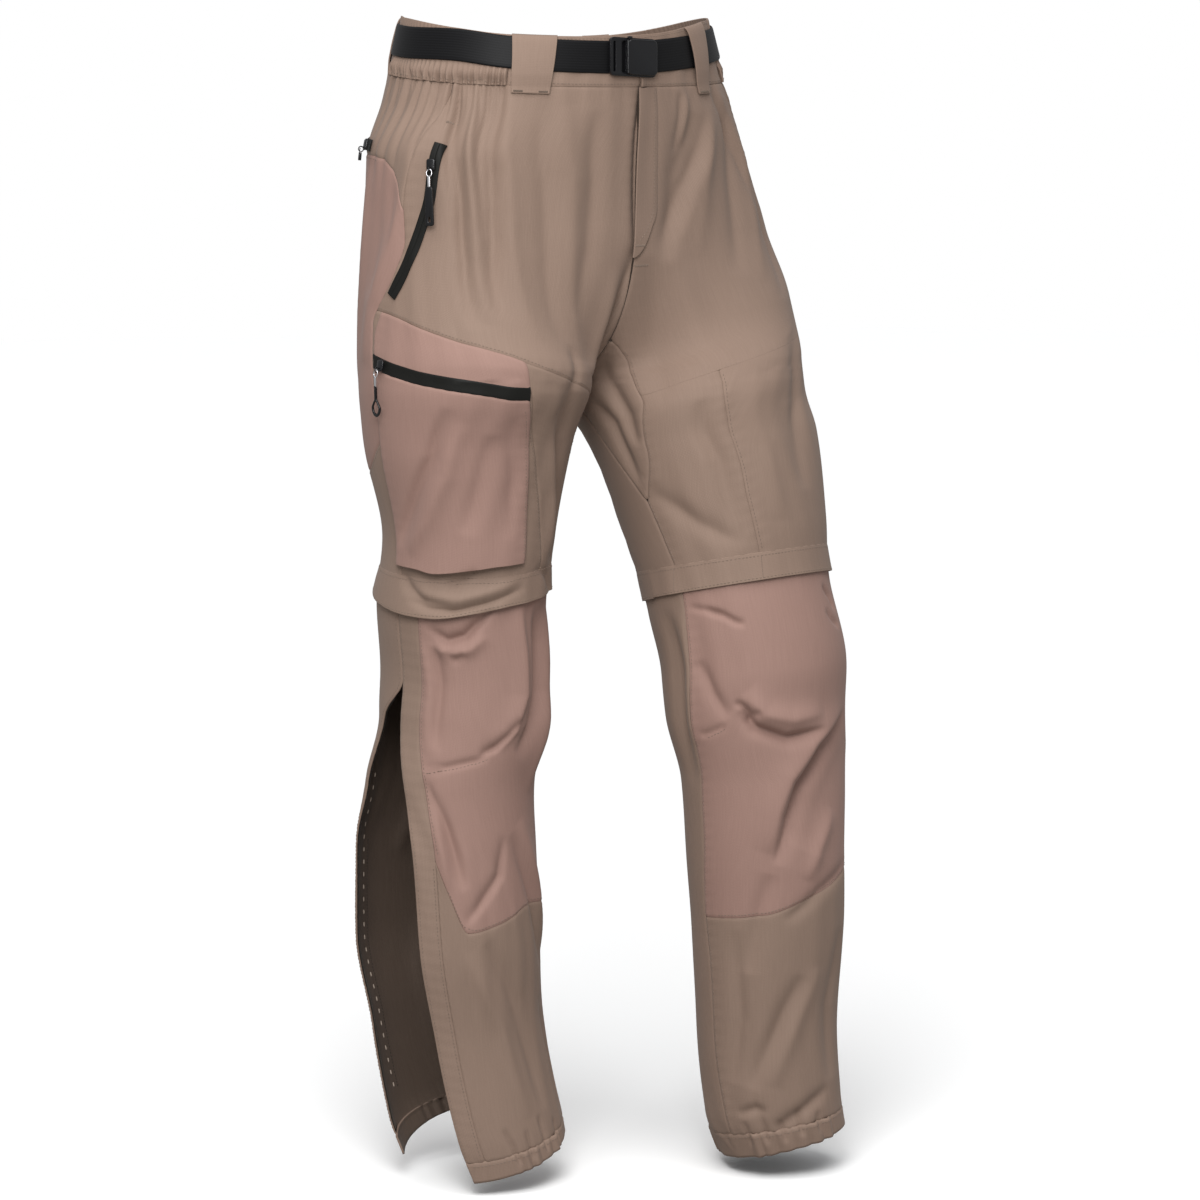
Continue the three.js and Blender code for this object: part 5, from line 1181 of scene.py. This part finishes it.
# Side zips of the lower legs: open on the right, with a toothed tape along the inside of each edge,
# and closed on the left.
OPEN_TAPE_TOP = 575
OPEN_TAPE_END = 972
OPEN_TAPE_LIFT = -1.6
CLOSED_TAPE_TOP = 522
around_share, drop = np.meshgrid(np.linspace(0, 1, 6), np.linspace(0, 1, 140))
depth = OPEN_TAPE_TOP + (OPEN_TAPE_END - OPEN_TAPE_TOP) * drop
for name, start, end in (("side_zip_front_right", 0.4695, 0.4985), ("side_zip_back_right", 0.501, 0.53)):
    tape = sewn_piece(f"{name}_tape", RIGHT, start + (end - start) * around_share, depth, OPEN_TAPE_LIFT,
                      zip_tape, "", TAPE_WALL, painted_shade_inside_cloth)
    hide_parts(name)
share, drop = np.meshgrid(TAPE_ACROSS, np.linspace(0, 1, 160))
depth = CLOSED_TAPE_TOP + (HEM_SEAM - CLOSED_TAPE_TOP) * drop
lift = 0.1 + 0.6 * TAPE_CROWN[None, :] + 0 * drop
left_zip = sewn_piece("side_zip_left_tape", LEFT, 0.5 + (2 * share - 1) * zip_reach(depth), depth, lift,
                      zip_tape, "", 1.0, zip_tape)
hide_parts("side_zip_left")

# Stitching: spun polyester thread a shade darker than the shell, laid as short lens-shaped stitches
# whose ends sink into the cloth. Bar tacks are close crosswise stitches where a seam takes a pull.
STITCH_PITCH = 3.4
STITCH_SIZE = (2.5, 0.6, 0.32)
CLOSE_PITCH = 2.2
CLOSE_SIZE = (2.3, 0.6, 0.3)
TACK_PITCH = 0.8
TACK_SIZE = (2.3, 0.8, 0.4)
INSET = 2.4
WIDE_INSET = 2.6
STITCH_CORNERS = np.array([
    (0, -0.5, -0.3),
    (0.5, -0.28, 0), (0, -0.28, 1), (-0.5, -0.28, 0), (0, -0.28, -0.6),
    (0.5, 0.28, 0), (0, 0.28, 1), (-0.5, 0.28, 0), (0, 0.28, -0.6),
    (0, 0.5, -0.3),
])
STITCH_FACES = [
    (0, 1, 2), (0, 2, 3), (0, 3, 4), (0, 4, 1),
    (1, 5, 6, 2), (2, 6, 7, 3), (3, 7, 8, 4), (4, 8, 5, 1),
    (9, 6, 5), (9, 7, 6), (9, 8, 7), (9, 5, 8),
]


def spun_thread(name, deep, light, roughness):
    """A twisted thread, mottled along its length."""
    return grained(name, deep, light, (900.0, 2.0), (0.3, 0.0001),
                   {"Roughness": roughness, "Sheen Weight": 0.1})


# The threads are spun polyester, fuzzy and matt. The coil is extruded nylon, which shines a little.
shell_thread = spun_thread("spun_polyester_thread", "#65554a", "#7a685b", 0.7)
tack_thread = spun_thread("dark_tack_thread", "#54463c", "#66574b", 0.7)
pale_thread = spun_thread("pale_tape_thread", "#a89788", "#c2b2a4", 0.7)
facing_thread = spun_thread("dark_facing_thread", "#2b221c", "#3a2f27", 0.8)
coil_nylon = spun_thread("nylon_zip_coil", "#17130f", "#2c251e", 0.4)
TREES = {}


def path_places(side, path, pitch):
    """Evenly spaced places along a soft line on one side's cloth."""
    stops = np.asarray(path, float)
    ticks = np.arange(len(stops))
    fine = np.linspace(0, len(stops) - 1, 60 * len(stops))
    around = curve_through(np.stack([ticks, stops[:, 0]], 1), fine)
    depth = curve_through(np.stack([ticks, stops[:, 1]], 1), fine)
    reached = walked(form_points(side, around, depth), 0)
    at = np.arange(pitch / 2, reached[-1], pitch)
    return np.interp(at, reached, around), np.interp(at, reached, depth)


def stitch_run(piece_name, side, path, lift=2.5, pitch=STITCH_PITCH, size=STITCH_SIZE, crosswise=False):
    """The corners in metres of each stitch of a line, laid on a sewn piece's nearest face."""
    if piece_name not in TREES:
        mesh = bpy.data.objects[piece_name].data
        TREES[piece_name] = BVHTree.FromPolygons([v.co for v in mesh.vertices],
                                                 [face.vertices for face in mesh.polygons])
    around, depth = path_places(side, path, pitch)
    guide = cloth_points(side, around, depth, lift) * MM
    found = [TREES[piece_name].find_nearest(Vector(point)) for point in guide]
    seats = np.array([hit[0] for hit in found])
    outs = np.array([hit[1] for hit in found])
    run = np.gradient(seats, axis=0)
    along = np.cross(outs, run) if crosswise else run
    along = along - outs * np.sum(along * outs, axis=1, keepdims=True)
    along /= np.linalg.norm(along, axis=1, keepdims=True)
    across = np.cross(along, outs)
    length, width, rise = size
    local = STITCH_CORNERS * np.array([width, length, rise]) * MM
    return (seats[:, None] + across[:, None] * local[None, :, :1] + along[:, None] * local[None, :, 1:2]
            + outs[:, None] * local[None, :, 2:])


def sewn_down(name, runs, thread):
    """Joins lines of stitches into one piece of thread."""
    corners = np.concatenate(runs)
    faces = [tuple(10 * i + k for k in face) for i in range(len(corners)) for face in STITCH_FACES]
    mesh = bpy.data.meshes.new(name)
    mesh.from_pydata(corners.reshape(-1, 3).tolist(), [], faces)
    piece = bpy.data.objects.new(name, mesh)
    bpy.context.collection.objects.link(piece)
    piece.data.materials.append(thread)
    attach(piece, "garment")


def beside(line, start, end, shift):
    """A line of stitches a little above or below a cut, between two places around the side."""
    return [(around, float(line(around)) + shift) for around in np.linspace(start, end, 16)]


def along_seam(side, seam, top, bottom, shift):
    """A line of stitches a little beside a seam, between two depths."""
    return [(float(seam(depth)) + shift / float(girth(side, depth)), depth)
            for depth in np.linspace(top, bottom, 14)]


def tack(piece_name, side, around, depth, half):
    """A level bar tack, as wide as twice its half."""
    reach = half / float(girth(side, depth))
    path = [(around - reach, depth), (around + reach, depth)]
    return stitch_run(piece_name, side, path, 3, TACK_PITCH, TACK_SIZE, True)


shell_runs = []
tack_runs = []
for side, side_name in SIDE_NAMES:
    knee_end = table_line(KNEE_BOTTOM[side])
    flap_end = table_line(FLAP_BOTTOM[side])
    edge = table_line(WAIST_EDGE[side])
    strip_seam = table_line(STRIP_SEAM)
    for piece, path, lift in (
        ("waistband_front", beside(straight(WAIST_SEAM), 0.01, 0.26, -INSET), 2.5),
        ("waistband_front", beside(edge, 0.01, 0.26, INSET), 2.5),
        ("waistband_elastic", beside(straight(WAIST_SEAM), 0.27, 0.61, -INSET), 5),
        ("hip_front", along_seam(side, inner_front, 250, 312, INSET), 2.5),
        ("thigh_front", along_seam(side, inner_front, 326, 462, INSET), 2.5),
        ("thigh_side", along_seam(side, table_line(THIGH_SEAM[side]), 300, 462, INSET), 2.5),
        ("seat", beside(table_line(SEAT_TOP), 0.56, 0.99, WIDE_INSET), 2.5),
        ("thigh_back", beside(table_line(SEAT_BOTTOM), 0.52, 0.95, WIDE_INSET), 2.5),
        ("zip_off_flap", beside(flap_end, 0, 0.999, -INSET), 6),
        ("zip_off_flap", beside(straight(FLAP_TOP), 0, 0.999, 1.9), 5),
        ("knee", beside(knee_end, 0.02, 0.43, -INSET), 2.5),
        ("knee", along_seam(side, inseam, 494, 770, INSET), 2.5),
        ("knee", along_seam(side, strip_seam, 500, 712, -INSET), 2.5),
        ("shin", along_seam(side, inseam, 786, 968, INSET), 2.5),
        ("side_strip", along_seam(side, strip_seam, 724, 970, INSET), 2.5),
    ):
        shell_runs.append(stitch_run(f"{piece}_{side_name}_cloth", side, path, lift))
    for loop in LOOPS:
        if loop["side"] == side:
            shift = (loop["half_bottom"] * HIP_GIRTH - 2 - 5) / HIP_GIRTH
            for around in (loop["bottom"] - shift, loop["bottom"] + shift):
                tack_runs.append(tack(f"belt_loop_{loop['name']}_strap", side, around, LOOP_END - 2, 5))

# The rows and the tacks that differ between the two sides
FLY_ROW = [(0.0285, 40), (0.0285, 90), (0.0285, 138), (0.0265, 150), (0.0215, 160), (0.0135, 168),
           (0.003, 173)]
BAG_ROW = [(0.289, 325), (0.28, 336), (0.27, 353), (0.262, 386), (0.259, 420), (0.257, 450)]
shell_runs.append(stitch_run("fly_placket_cloth", LEFT, FLY_ROW, 4))
for piece_name, side, around, depth, half in (
    ("fly_placket_cloth", LEFT, 0.004, 176, 5),
    ("hip_front_left_cloth", LEFT, 0.012, 188, 7),
    ("hip_front_right_cloth", RIGHT, 0.365, 75, 5),
    ("hip_front_left_cloth", LEFT, 0.395, 75, 5),
):
    shell_runs.append(tack(piece_name, side, around, depth, half))
for piece_name, side, path, lift, pitch, size in (
    ("hip_front_right_cloth", RIGHT, beside(table_line(YOKE_SEAM[RIGHT]), 0.1, 0.525, -WIDE_INSET), 2.5,
     STITCH_PITCH, STITCH_SIZE),
    ("hem_front_right_cloth", RIGHT, beside(straight(HEM_SEAM), 0.02, 0.49, WIDE_INSET), 3,
     STITCH_PITCH, STITCH_SIZE),
    ("hem_back_right_cloth", RIGHT, beside(straight(HEM_SEAM), 0.51, 0.99, WIDE_INSET), 3,
     STITCH_PITCH, STITCH_SIZE),
    ("hem_left_cloth", LEFT, beside(straight(HEM_SEAM), 0, 0.999, WIDE_INSET), 3,
     STITCH_PITCH, STITCH_SIZE),
    ("cargo_bag_right_cloth", RIGHT, BAG_ROW, 6, STITCH_PITCH, STITCH_SIZE),
    ("zip_off_flap_left_cloth", LEFT, [(0.214, 468), (0.208, 488)], 6, CLOSE_PITCH, CLOSE_SIZE),
    ("zip_off_flap_left_cloth", LEFT, [(0.065, 468), (0.053, 488)], 6, CLOSE_PITCH, CLOSE_SIZE),
    ("side_strip_right_cloth", RIGHT, [(0.4935, 500), (0.4935, 735), (0.4935, 970)], 2.5,
     STITCH_PITCH, STITCH_SIZE),
    ("lower_back_right_cloth", RIGHT, [(0.5065, 500), (0.5065, 735), (0.5065, 970)], 2.5,
     STITCH_PITCH, STITCH_SIZE),
    ("knee_right_cloth", RIGHT, [(0.444, 642), (0.4, 638), (0.356, 634), (0.316, 630)], 2.5,
     STITCH_PITCH, STITCH_SIZE),
    ("knee_left_cloth", LEFT, [(0.06, 616), (0.08, 613), (0.1, 609)], 2.5, STITCH_PITCH, STITCH_SIZE),
):
    shell_runs.append(stitch_run(piece_name, side, path, lift, pitch, size))
sewn_down("shell_stitches", shell_runs, shell_thread)
sewn_down("bar_tacks", tack_runs, tack_thread)

# Zip teeth: a nylon coil along each edge of the open side zip and down the middle of the closed one,
# and, inside the slit, the facing's dark row of stitches with pale basting beside it.
COIL_PITCH = 1.9
COIL_SIZE = (3.0, 1.3, 0.9)
BASTING_PITCH = 11.5
BASTING_SIZE = (5, 2, 0.6)
FACING_PITCH = 3.0
FACING_SIZE = (2.9, 1.2, 0.5)
INSIDE_LIFT = -6
BASTING_LINE = [(0.606, 655), (0.588, 720), (0.586, 785), (0.58, 850), (0.586, 910), (0.588, 950)]
FACING_LINE = [(around + 0.017, depth) for around, depth in BASTING_LINE[1:]]
coil_runs = []
for piece_name, side, path, lift in (
    ("side_zip_front_right_tape", RIGHT, [(0.4965, 580), (0.4965, 770), (0.4965, 968)], -5),
    ("side_zip_back_right_tape", RIGHT, [(0.5035, 580), (0.5035, 770), (0.5035, 968)], -5),
    ("side_zip_left_tape", LEFT, [(0.5, 530), (0.5, 750), (0.5, 970)], 2.5),
):
    coil_runs.append(stitch_run(piece_name, side, path, lift, COIL_PITCH, COIL_SIZE, True))
sewn_down("side_zip_coils", coil_runs, coil_nylon)
sewn_down("tape_basting", [stitch_run("lower_back_right_cloth", RIGHT, BASTING_LINE, INSIDE_LIFT,
                                      BASTING_PITCH, BASTING_SIZE)], pale_thread)
sewn_down("facing_stitches", [stitch_run("lower_back_right_cloth", RIGHT, FACING_LINE, INSIDE_LIFT,
                                         FACING_PITCH, FACING_SIZE)], facing_thread)

# Buckle: a moulded acetal frame that the webbing threads, with a crowned clasp plate clipped over
# its right half. Black acetal from a polished mould looks glossy, with small bright highlights.
moulded = grained("moulded_black_acetal", "#0c0c0e", "#141416", (700.0, 3.0), (0.15, 0.0001),
                  {"Roughness": 0.24, "Specular IOR Level": 0.35})


def shape(piece, kind, picked, *steps):
    """Runs edit steps on the faces or edges that a test picks by their middle and their way."""
    bpy.context.view_layer.objects.active = piece
    mesh = piece.data
    bpy.ops.object.mode_set(mode="EDIT")
    bpy.ops.mesh.select_mode(type=kind)
    bpy.ops.mesh.select_all(action="DESELECT")
    bpy.ops.object.mode_set(mode="OBJECT")
    if kind == "FACE":
        for face in mesh.polygons:
            face.select = picked(face.center, face.normal)
    else:
        for edge in mesh.edges:
            first, second = (mesh.vertices[i].co for i in edge.vertices)
            edge.select = picked((first + second) / 2, (second - first).normalized())
    bpy.ops.object.mode_set(mode="EDIT")
    for operator, values in steps:
        operator(**values)
    bpy.ops.object.mode_set(mode="OBJECT")


def block(name, size, place, corner, segments=5):
    """A block in millimetres with its four standing corners rounded."""
    bpy.ops.object.select_all(action="DESELECT")
    bpy.ops.mesh.primitive_cube_add(size=1)
    made = bpy.context.object
    made.name = name
    made.data.name = name
    scale = Matrix.Diagonal((*(v * MM for v in size), 1))
    made.data.transform(Matrix.Translation(Vector(place) * MM) @ scale)
    if corner:
        shape(made, "EDGE", lambda middle, way: abs(way.z) > 0.9,
              (bpy.ops.mesh.bevel, {"offset": corner * MM, "segments": segments, "affect": "EDGES"}))
    return made


def soften(piece, width, segments=2):
    """Rounds a piece's sharp edges."""
    bpy.context.view_layer.objects.active = piece
    rounding = piece.modifiers.new("rounding", "BEVEL")
    rounding.width = width * MM
    rounding.segments = segments
    rounding.limit_method = "ANGLE"
    bpy.ops.object.modifier_apply(modifier=rounding.name)
    bpy.ops.object.select_all(action="DESELECT")
    piece.select_set(True)
    bpy.ops.object.shade_smooth_by_angle(angle=math.radians(40))


def cut_out(piece, cutter):
    """Cuts a block out of a piece and clears it away."""
    bpy.context.view_layer.objects.active = piece
    cutting = piece.modifiers.new("cutting", "BOOLEAN")
    cutting.operation = "DIFFERENCE"
    cutting.object = cutter
    bpy.ops.object.modifier_apply(modifier=cutting.name)
    bpy.data.objects.remove(cutter)


def joined(piece, *others):
    """Joins other shapes into a piece."""
    bpy.ops.object.select_all(action="DESELECT")
    for other in (piece, *others):
        other.select_set(True)
    bpy.context.view_layer.objects.active = piece
    bpy.ops.object.join()
    return piece


def seated(piece, place, material, body):
    """Gives a hard piece its finish, puts it in its place and lets it ride its body."""
    piece.data.transform(place)
    piece.data.materials.clear()
    piece.data.materials.append(material)
    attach(piece, body)


def plate_frame(node_name, side, around, depth):
    """A packed plate's own frame: x level across it, y up it and z out of the garment."""
    corners = np.unique(np.array([v.co for v in frame["nodes"][node_name].data.vertices]).round(6), axis=0)
    centre = (corners.min(axis=0) + corners.max(axis=0)) / 2
    ways = np.linalg.svd(corners - corners.mean(axis=0), full_matrices=False)[2]
    out = ways[2] * np.sign(ways[2] @ form_normals(side, around, depth))
    up = max((ways[0], ways[1]), key=lambda way: abs(way[2]))
    up = up * np.sign(up[2])
    return Matrix.LocRotScale(Vector(centre), Matrix([np.cross(up, out), up, out]).transposed(), None)


BUCKLE_SIZE = (49, 33, 3)
CLASP_SIZE = (32, 30.5, 3.6)
CLASP_PLACE = (7.9, 0, 3.4)
CLASP_CROWN = 0.9
buckle_seat = plate_frame("buckle_frame", RIGHT, 0.024, 9.5)
buckle = block("buckle_frame_moulding", BUCKLE_SIZE, (0, 0, 0), 4)
cut_out(buckle, block("thin_slot", (2.6, 26, 8), (-20.2, 0, 0), 0.8))
cut_out(buckle, block("wide_slot", (4.3, 27, 8), (-10.2, 0, 0), 1.2))
soften(buckle, 0.7, 3)
seated(buckle, buckle_seat, moulded, "garment")
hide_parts("buckle_frame")
clasp = block("buckle_clasp_moulding", CLASP_SIZE, CLASP_PLACE, 4.5)
for vertex in clasp.data.vertices:
    if vertex.co.z > CLASP_PLACE[2] * MM:
        from_middle = (vertex.co.x / MM - CLASP_PLACE[0]) / (CLASP_SIZE[0] / 2)
        vertex.co.z += CLASP_CROWN * MM * (1 - from_middle ** 2)
soften(clasp, 1.5, 4)
nub = block("buckle_nub", (4.2, 2.6, 2.6), (-4.6, 16.4, 2.6), 0.8)
soften(nub, 0.5)
lip = block("buckle_lip", (2.2, 29, 1.6), (-7.6, 0, 4.4), 0.8)
soften(lip, 0.7, 3)
seated(joined(clasp, nub, lip), buckle_seat, moulded, "garment")
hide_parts("buckle_clasp")

# Sliders and pulls of the pocket zips: black enamelled sliders, each with a zinc ring and stem that
# carries a moulded puller. The ring's top arc turns on the pin, under the slider's bridge, so that
# the pull swings clear of the slider; its foot stands off the cloth by "stand" more.
SLIDER_SIZE = (8, 10, 2)
SLIDER_PLACE = (0, 0, -0.5)
BRIDGE_RADIUS = 2.2
BRIDGE_DROP = 0.8
WIRE = 0.5
RING_HALF = 3
RING_STRETCH = 1.25
STEM_WIDTH = 2.4
STEM_THICKNESS = 1.6
STEM_END = 1.2
GRIP_THICKNESS = 2.2
GRIP_LAP = 1.5
LOOP_DROP = 19

# Die-cast zinc with a bright nickel plate is not quite even, so its shine is broken softly
zinc = blank_material("plated_zinc")
zinc_grain = add_node(zinc, "ShaderNodeTexNoise", sockets={"Scale": 500.0, "Detail": 3.0})
zinc_roughness = add_node(zinc, "ShaderNodeMapRange", sockets={"To Min": 0.22, "To Max": 0.4},
                          links={"Value": zinc_grain.outputs["Fac"]})
zinc_shader = add_node(zinc, "ShaderNodeBsdfPrincipled",
                       sockets={"Base Color": linear("#cfcfd2"), "Metallic": 1.0},
                       links={"Roughness": zinc_roughness.outputs[0]})
add_node(zinc, "ShaderNodeOutputMaterial", links={"Surface": zinc_shader.outputs[0]})
PULL_COLUMNS = ("name", "body", "side", "around", "depth", "length", "neck", "width", "stand", "looped")
PULL_ROWS = [
    ("hand_right", "hand_pull_right", RIGHT, 0.384, 115, 48, 16, 8, 1.2, False),
    ("hand_left", "hand_pull_left", LEFT, 0.449, 184, 48, 16, 8, 1.2, False),
    ("cargo_right", "cargo_pull", RIGHT, 0.5, 289, 40, 15, 6, 1.2, True),
    ("back_right", "back_pull", RIGHT, 0.597, 101, 10, 4.6, 3.5, -0.4, False),
]
PULLS = [dict(zip(PULL_COLUMNS, row)) for row in PULL_ROWS]
PINS = {joint["child"]: Vector(joint["pos_m"]) for joint in frame["joints"]}


def wire_ring(name, radius, wire, place, stretch):
    """A ring of round wire, stretched along its y."""
    bpy.ops.object.select_all(action="DESELECT")
    bpy.ops.mesh.primitive_torus_add(major_segments=28, minor_segments=8, major_radius=radius * MM,
                                     minor_radius=wire * MM)
    ring = bpy.context.object
    ring.name = name
    ring.data.transform(Matrix.Translation(Vector(place) * MM) @ Matrix.Diagonal((1, stretch, 1, 1)))
    bpy.ops.object.shade_smooth()
    return ring


for pull in PULLS:
    name, length, neck, width = pull["name"], pull["length"], pull["neck"], pull["width"]
    seat = plate_frame(f"slider_{name}", pull["side"], pull["around"], pull["depth"])
    slider = block(f"slider_{name}_body", SLIDER_SIZE, SLIDER_PLACE, 2)
    shape(slider, "FACE", lambda middle, way: way.z > 0.9,
          (bpy.ops.mesh.inset, {"thickness": 1.3 * MM}),
          (bpy.ops.transform.translate, {"value": (0, 0, 0.6 * MM)}))
    soften(slider, 0.4)
    bridge = wire_ring("bridge", BRIDGE_RADIUS, WIRE, (0, 0, 0), 1)
    bridge_place = seat.inverted() @ PINS[pull["body"]] - Vector((0, 0, BRIDGE_DROP * MM))
    bridge.data.transform(Matrix.Translation(bridge_place) @ Matrix.Rotation(math.pi / 2, 4, "Y"))
    seated(joined(slider, bridge), seat, moulded, "garment")
    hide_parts(f"slider_{name}")
    hang = plate_frame(f"pull_{name}", pull["side"], pull["around"], pull["depth"] + length / 2)
    hang.translation = PINS[pull["body"]]
    stand = pull["stand"]
    half = min(RING_HALF, neck / 2 - 0.2)
    ring = wire_ring(f"pull_{name}_ring", half / RING_STRETCH, WIRE, (0, -half, 0), RING_STRETCH)
    for vertex in ring.data.vertices:
        vertex.co.z -= vertex.co.y * stand / (2 * half)
    stem = block("stem", (STEM_WIDTH, neck + STEM_END - 2 * half, STEM_THICKNESS),
                 (0, -half - (neck + STEM_END) / 2, stand), 0.7)
    soften(stem, 0.4)
    seated(joined(ring, stem), hang, zinc, pull["body"])
    top = -neck + GRIP_LAP
    if pull["looped"]:
        grip = block(f"pull_{name}_grip", (STEM_WIDTH, 14, GRIP_THICKNESS), (0, top - 7, stand), 0.9)
        soften(grip, 0.6)
        loop = wire_ring("loop", 4.6, 1.1, (0, top - LOOP_DROP, stand), 1.5)
        for vertex in loop.data.vertices:
            rise = max((vertex.co.y / MM - top + LOOP_DROP) / 8, 0)
            vertex.co.x *= (1 - 0.7 * rise) * (1.15 if vertex.co.x > 0 else 1)
        grip = joined(grip, loop)
    else:
        grip = block(f"pull_{name}_grip", (width, length - neck + GRIP_LAP, GRIP_THICKNESS),
                     (0, (top - length) / 2, stand), 2.4)
        for vertex in grip.data.vertices:
            vertex.co.x *= 0.8 + 0.2 * (vertex.co.y / MM - top) / (-length - top)
        if length > 30:
            cut_out(grip, block("grip_slot", (1.8, 4.6, 8), (0, -length + 5.4, stand), 0.8))
        soften(grip, 0.6, 3)
    seated(grip, hang, moulded, pull["body"])
    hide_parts(f"pull_{name}")
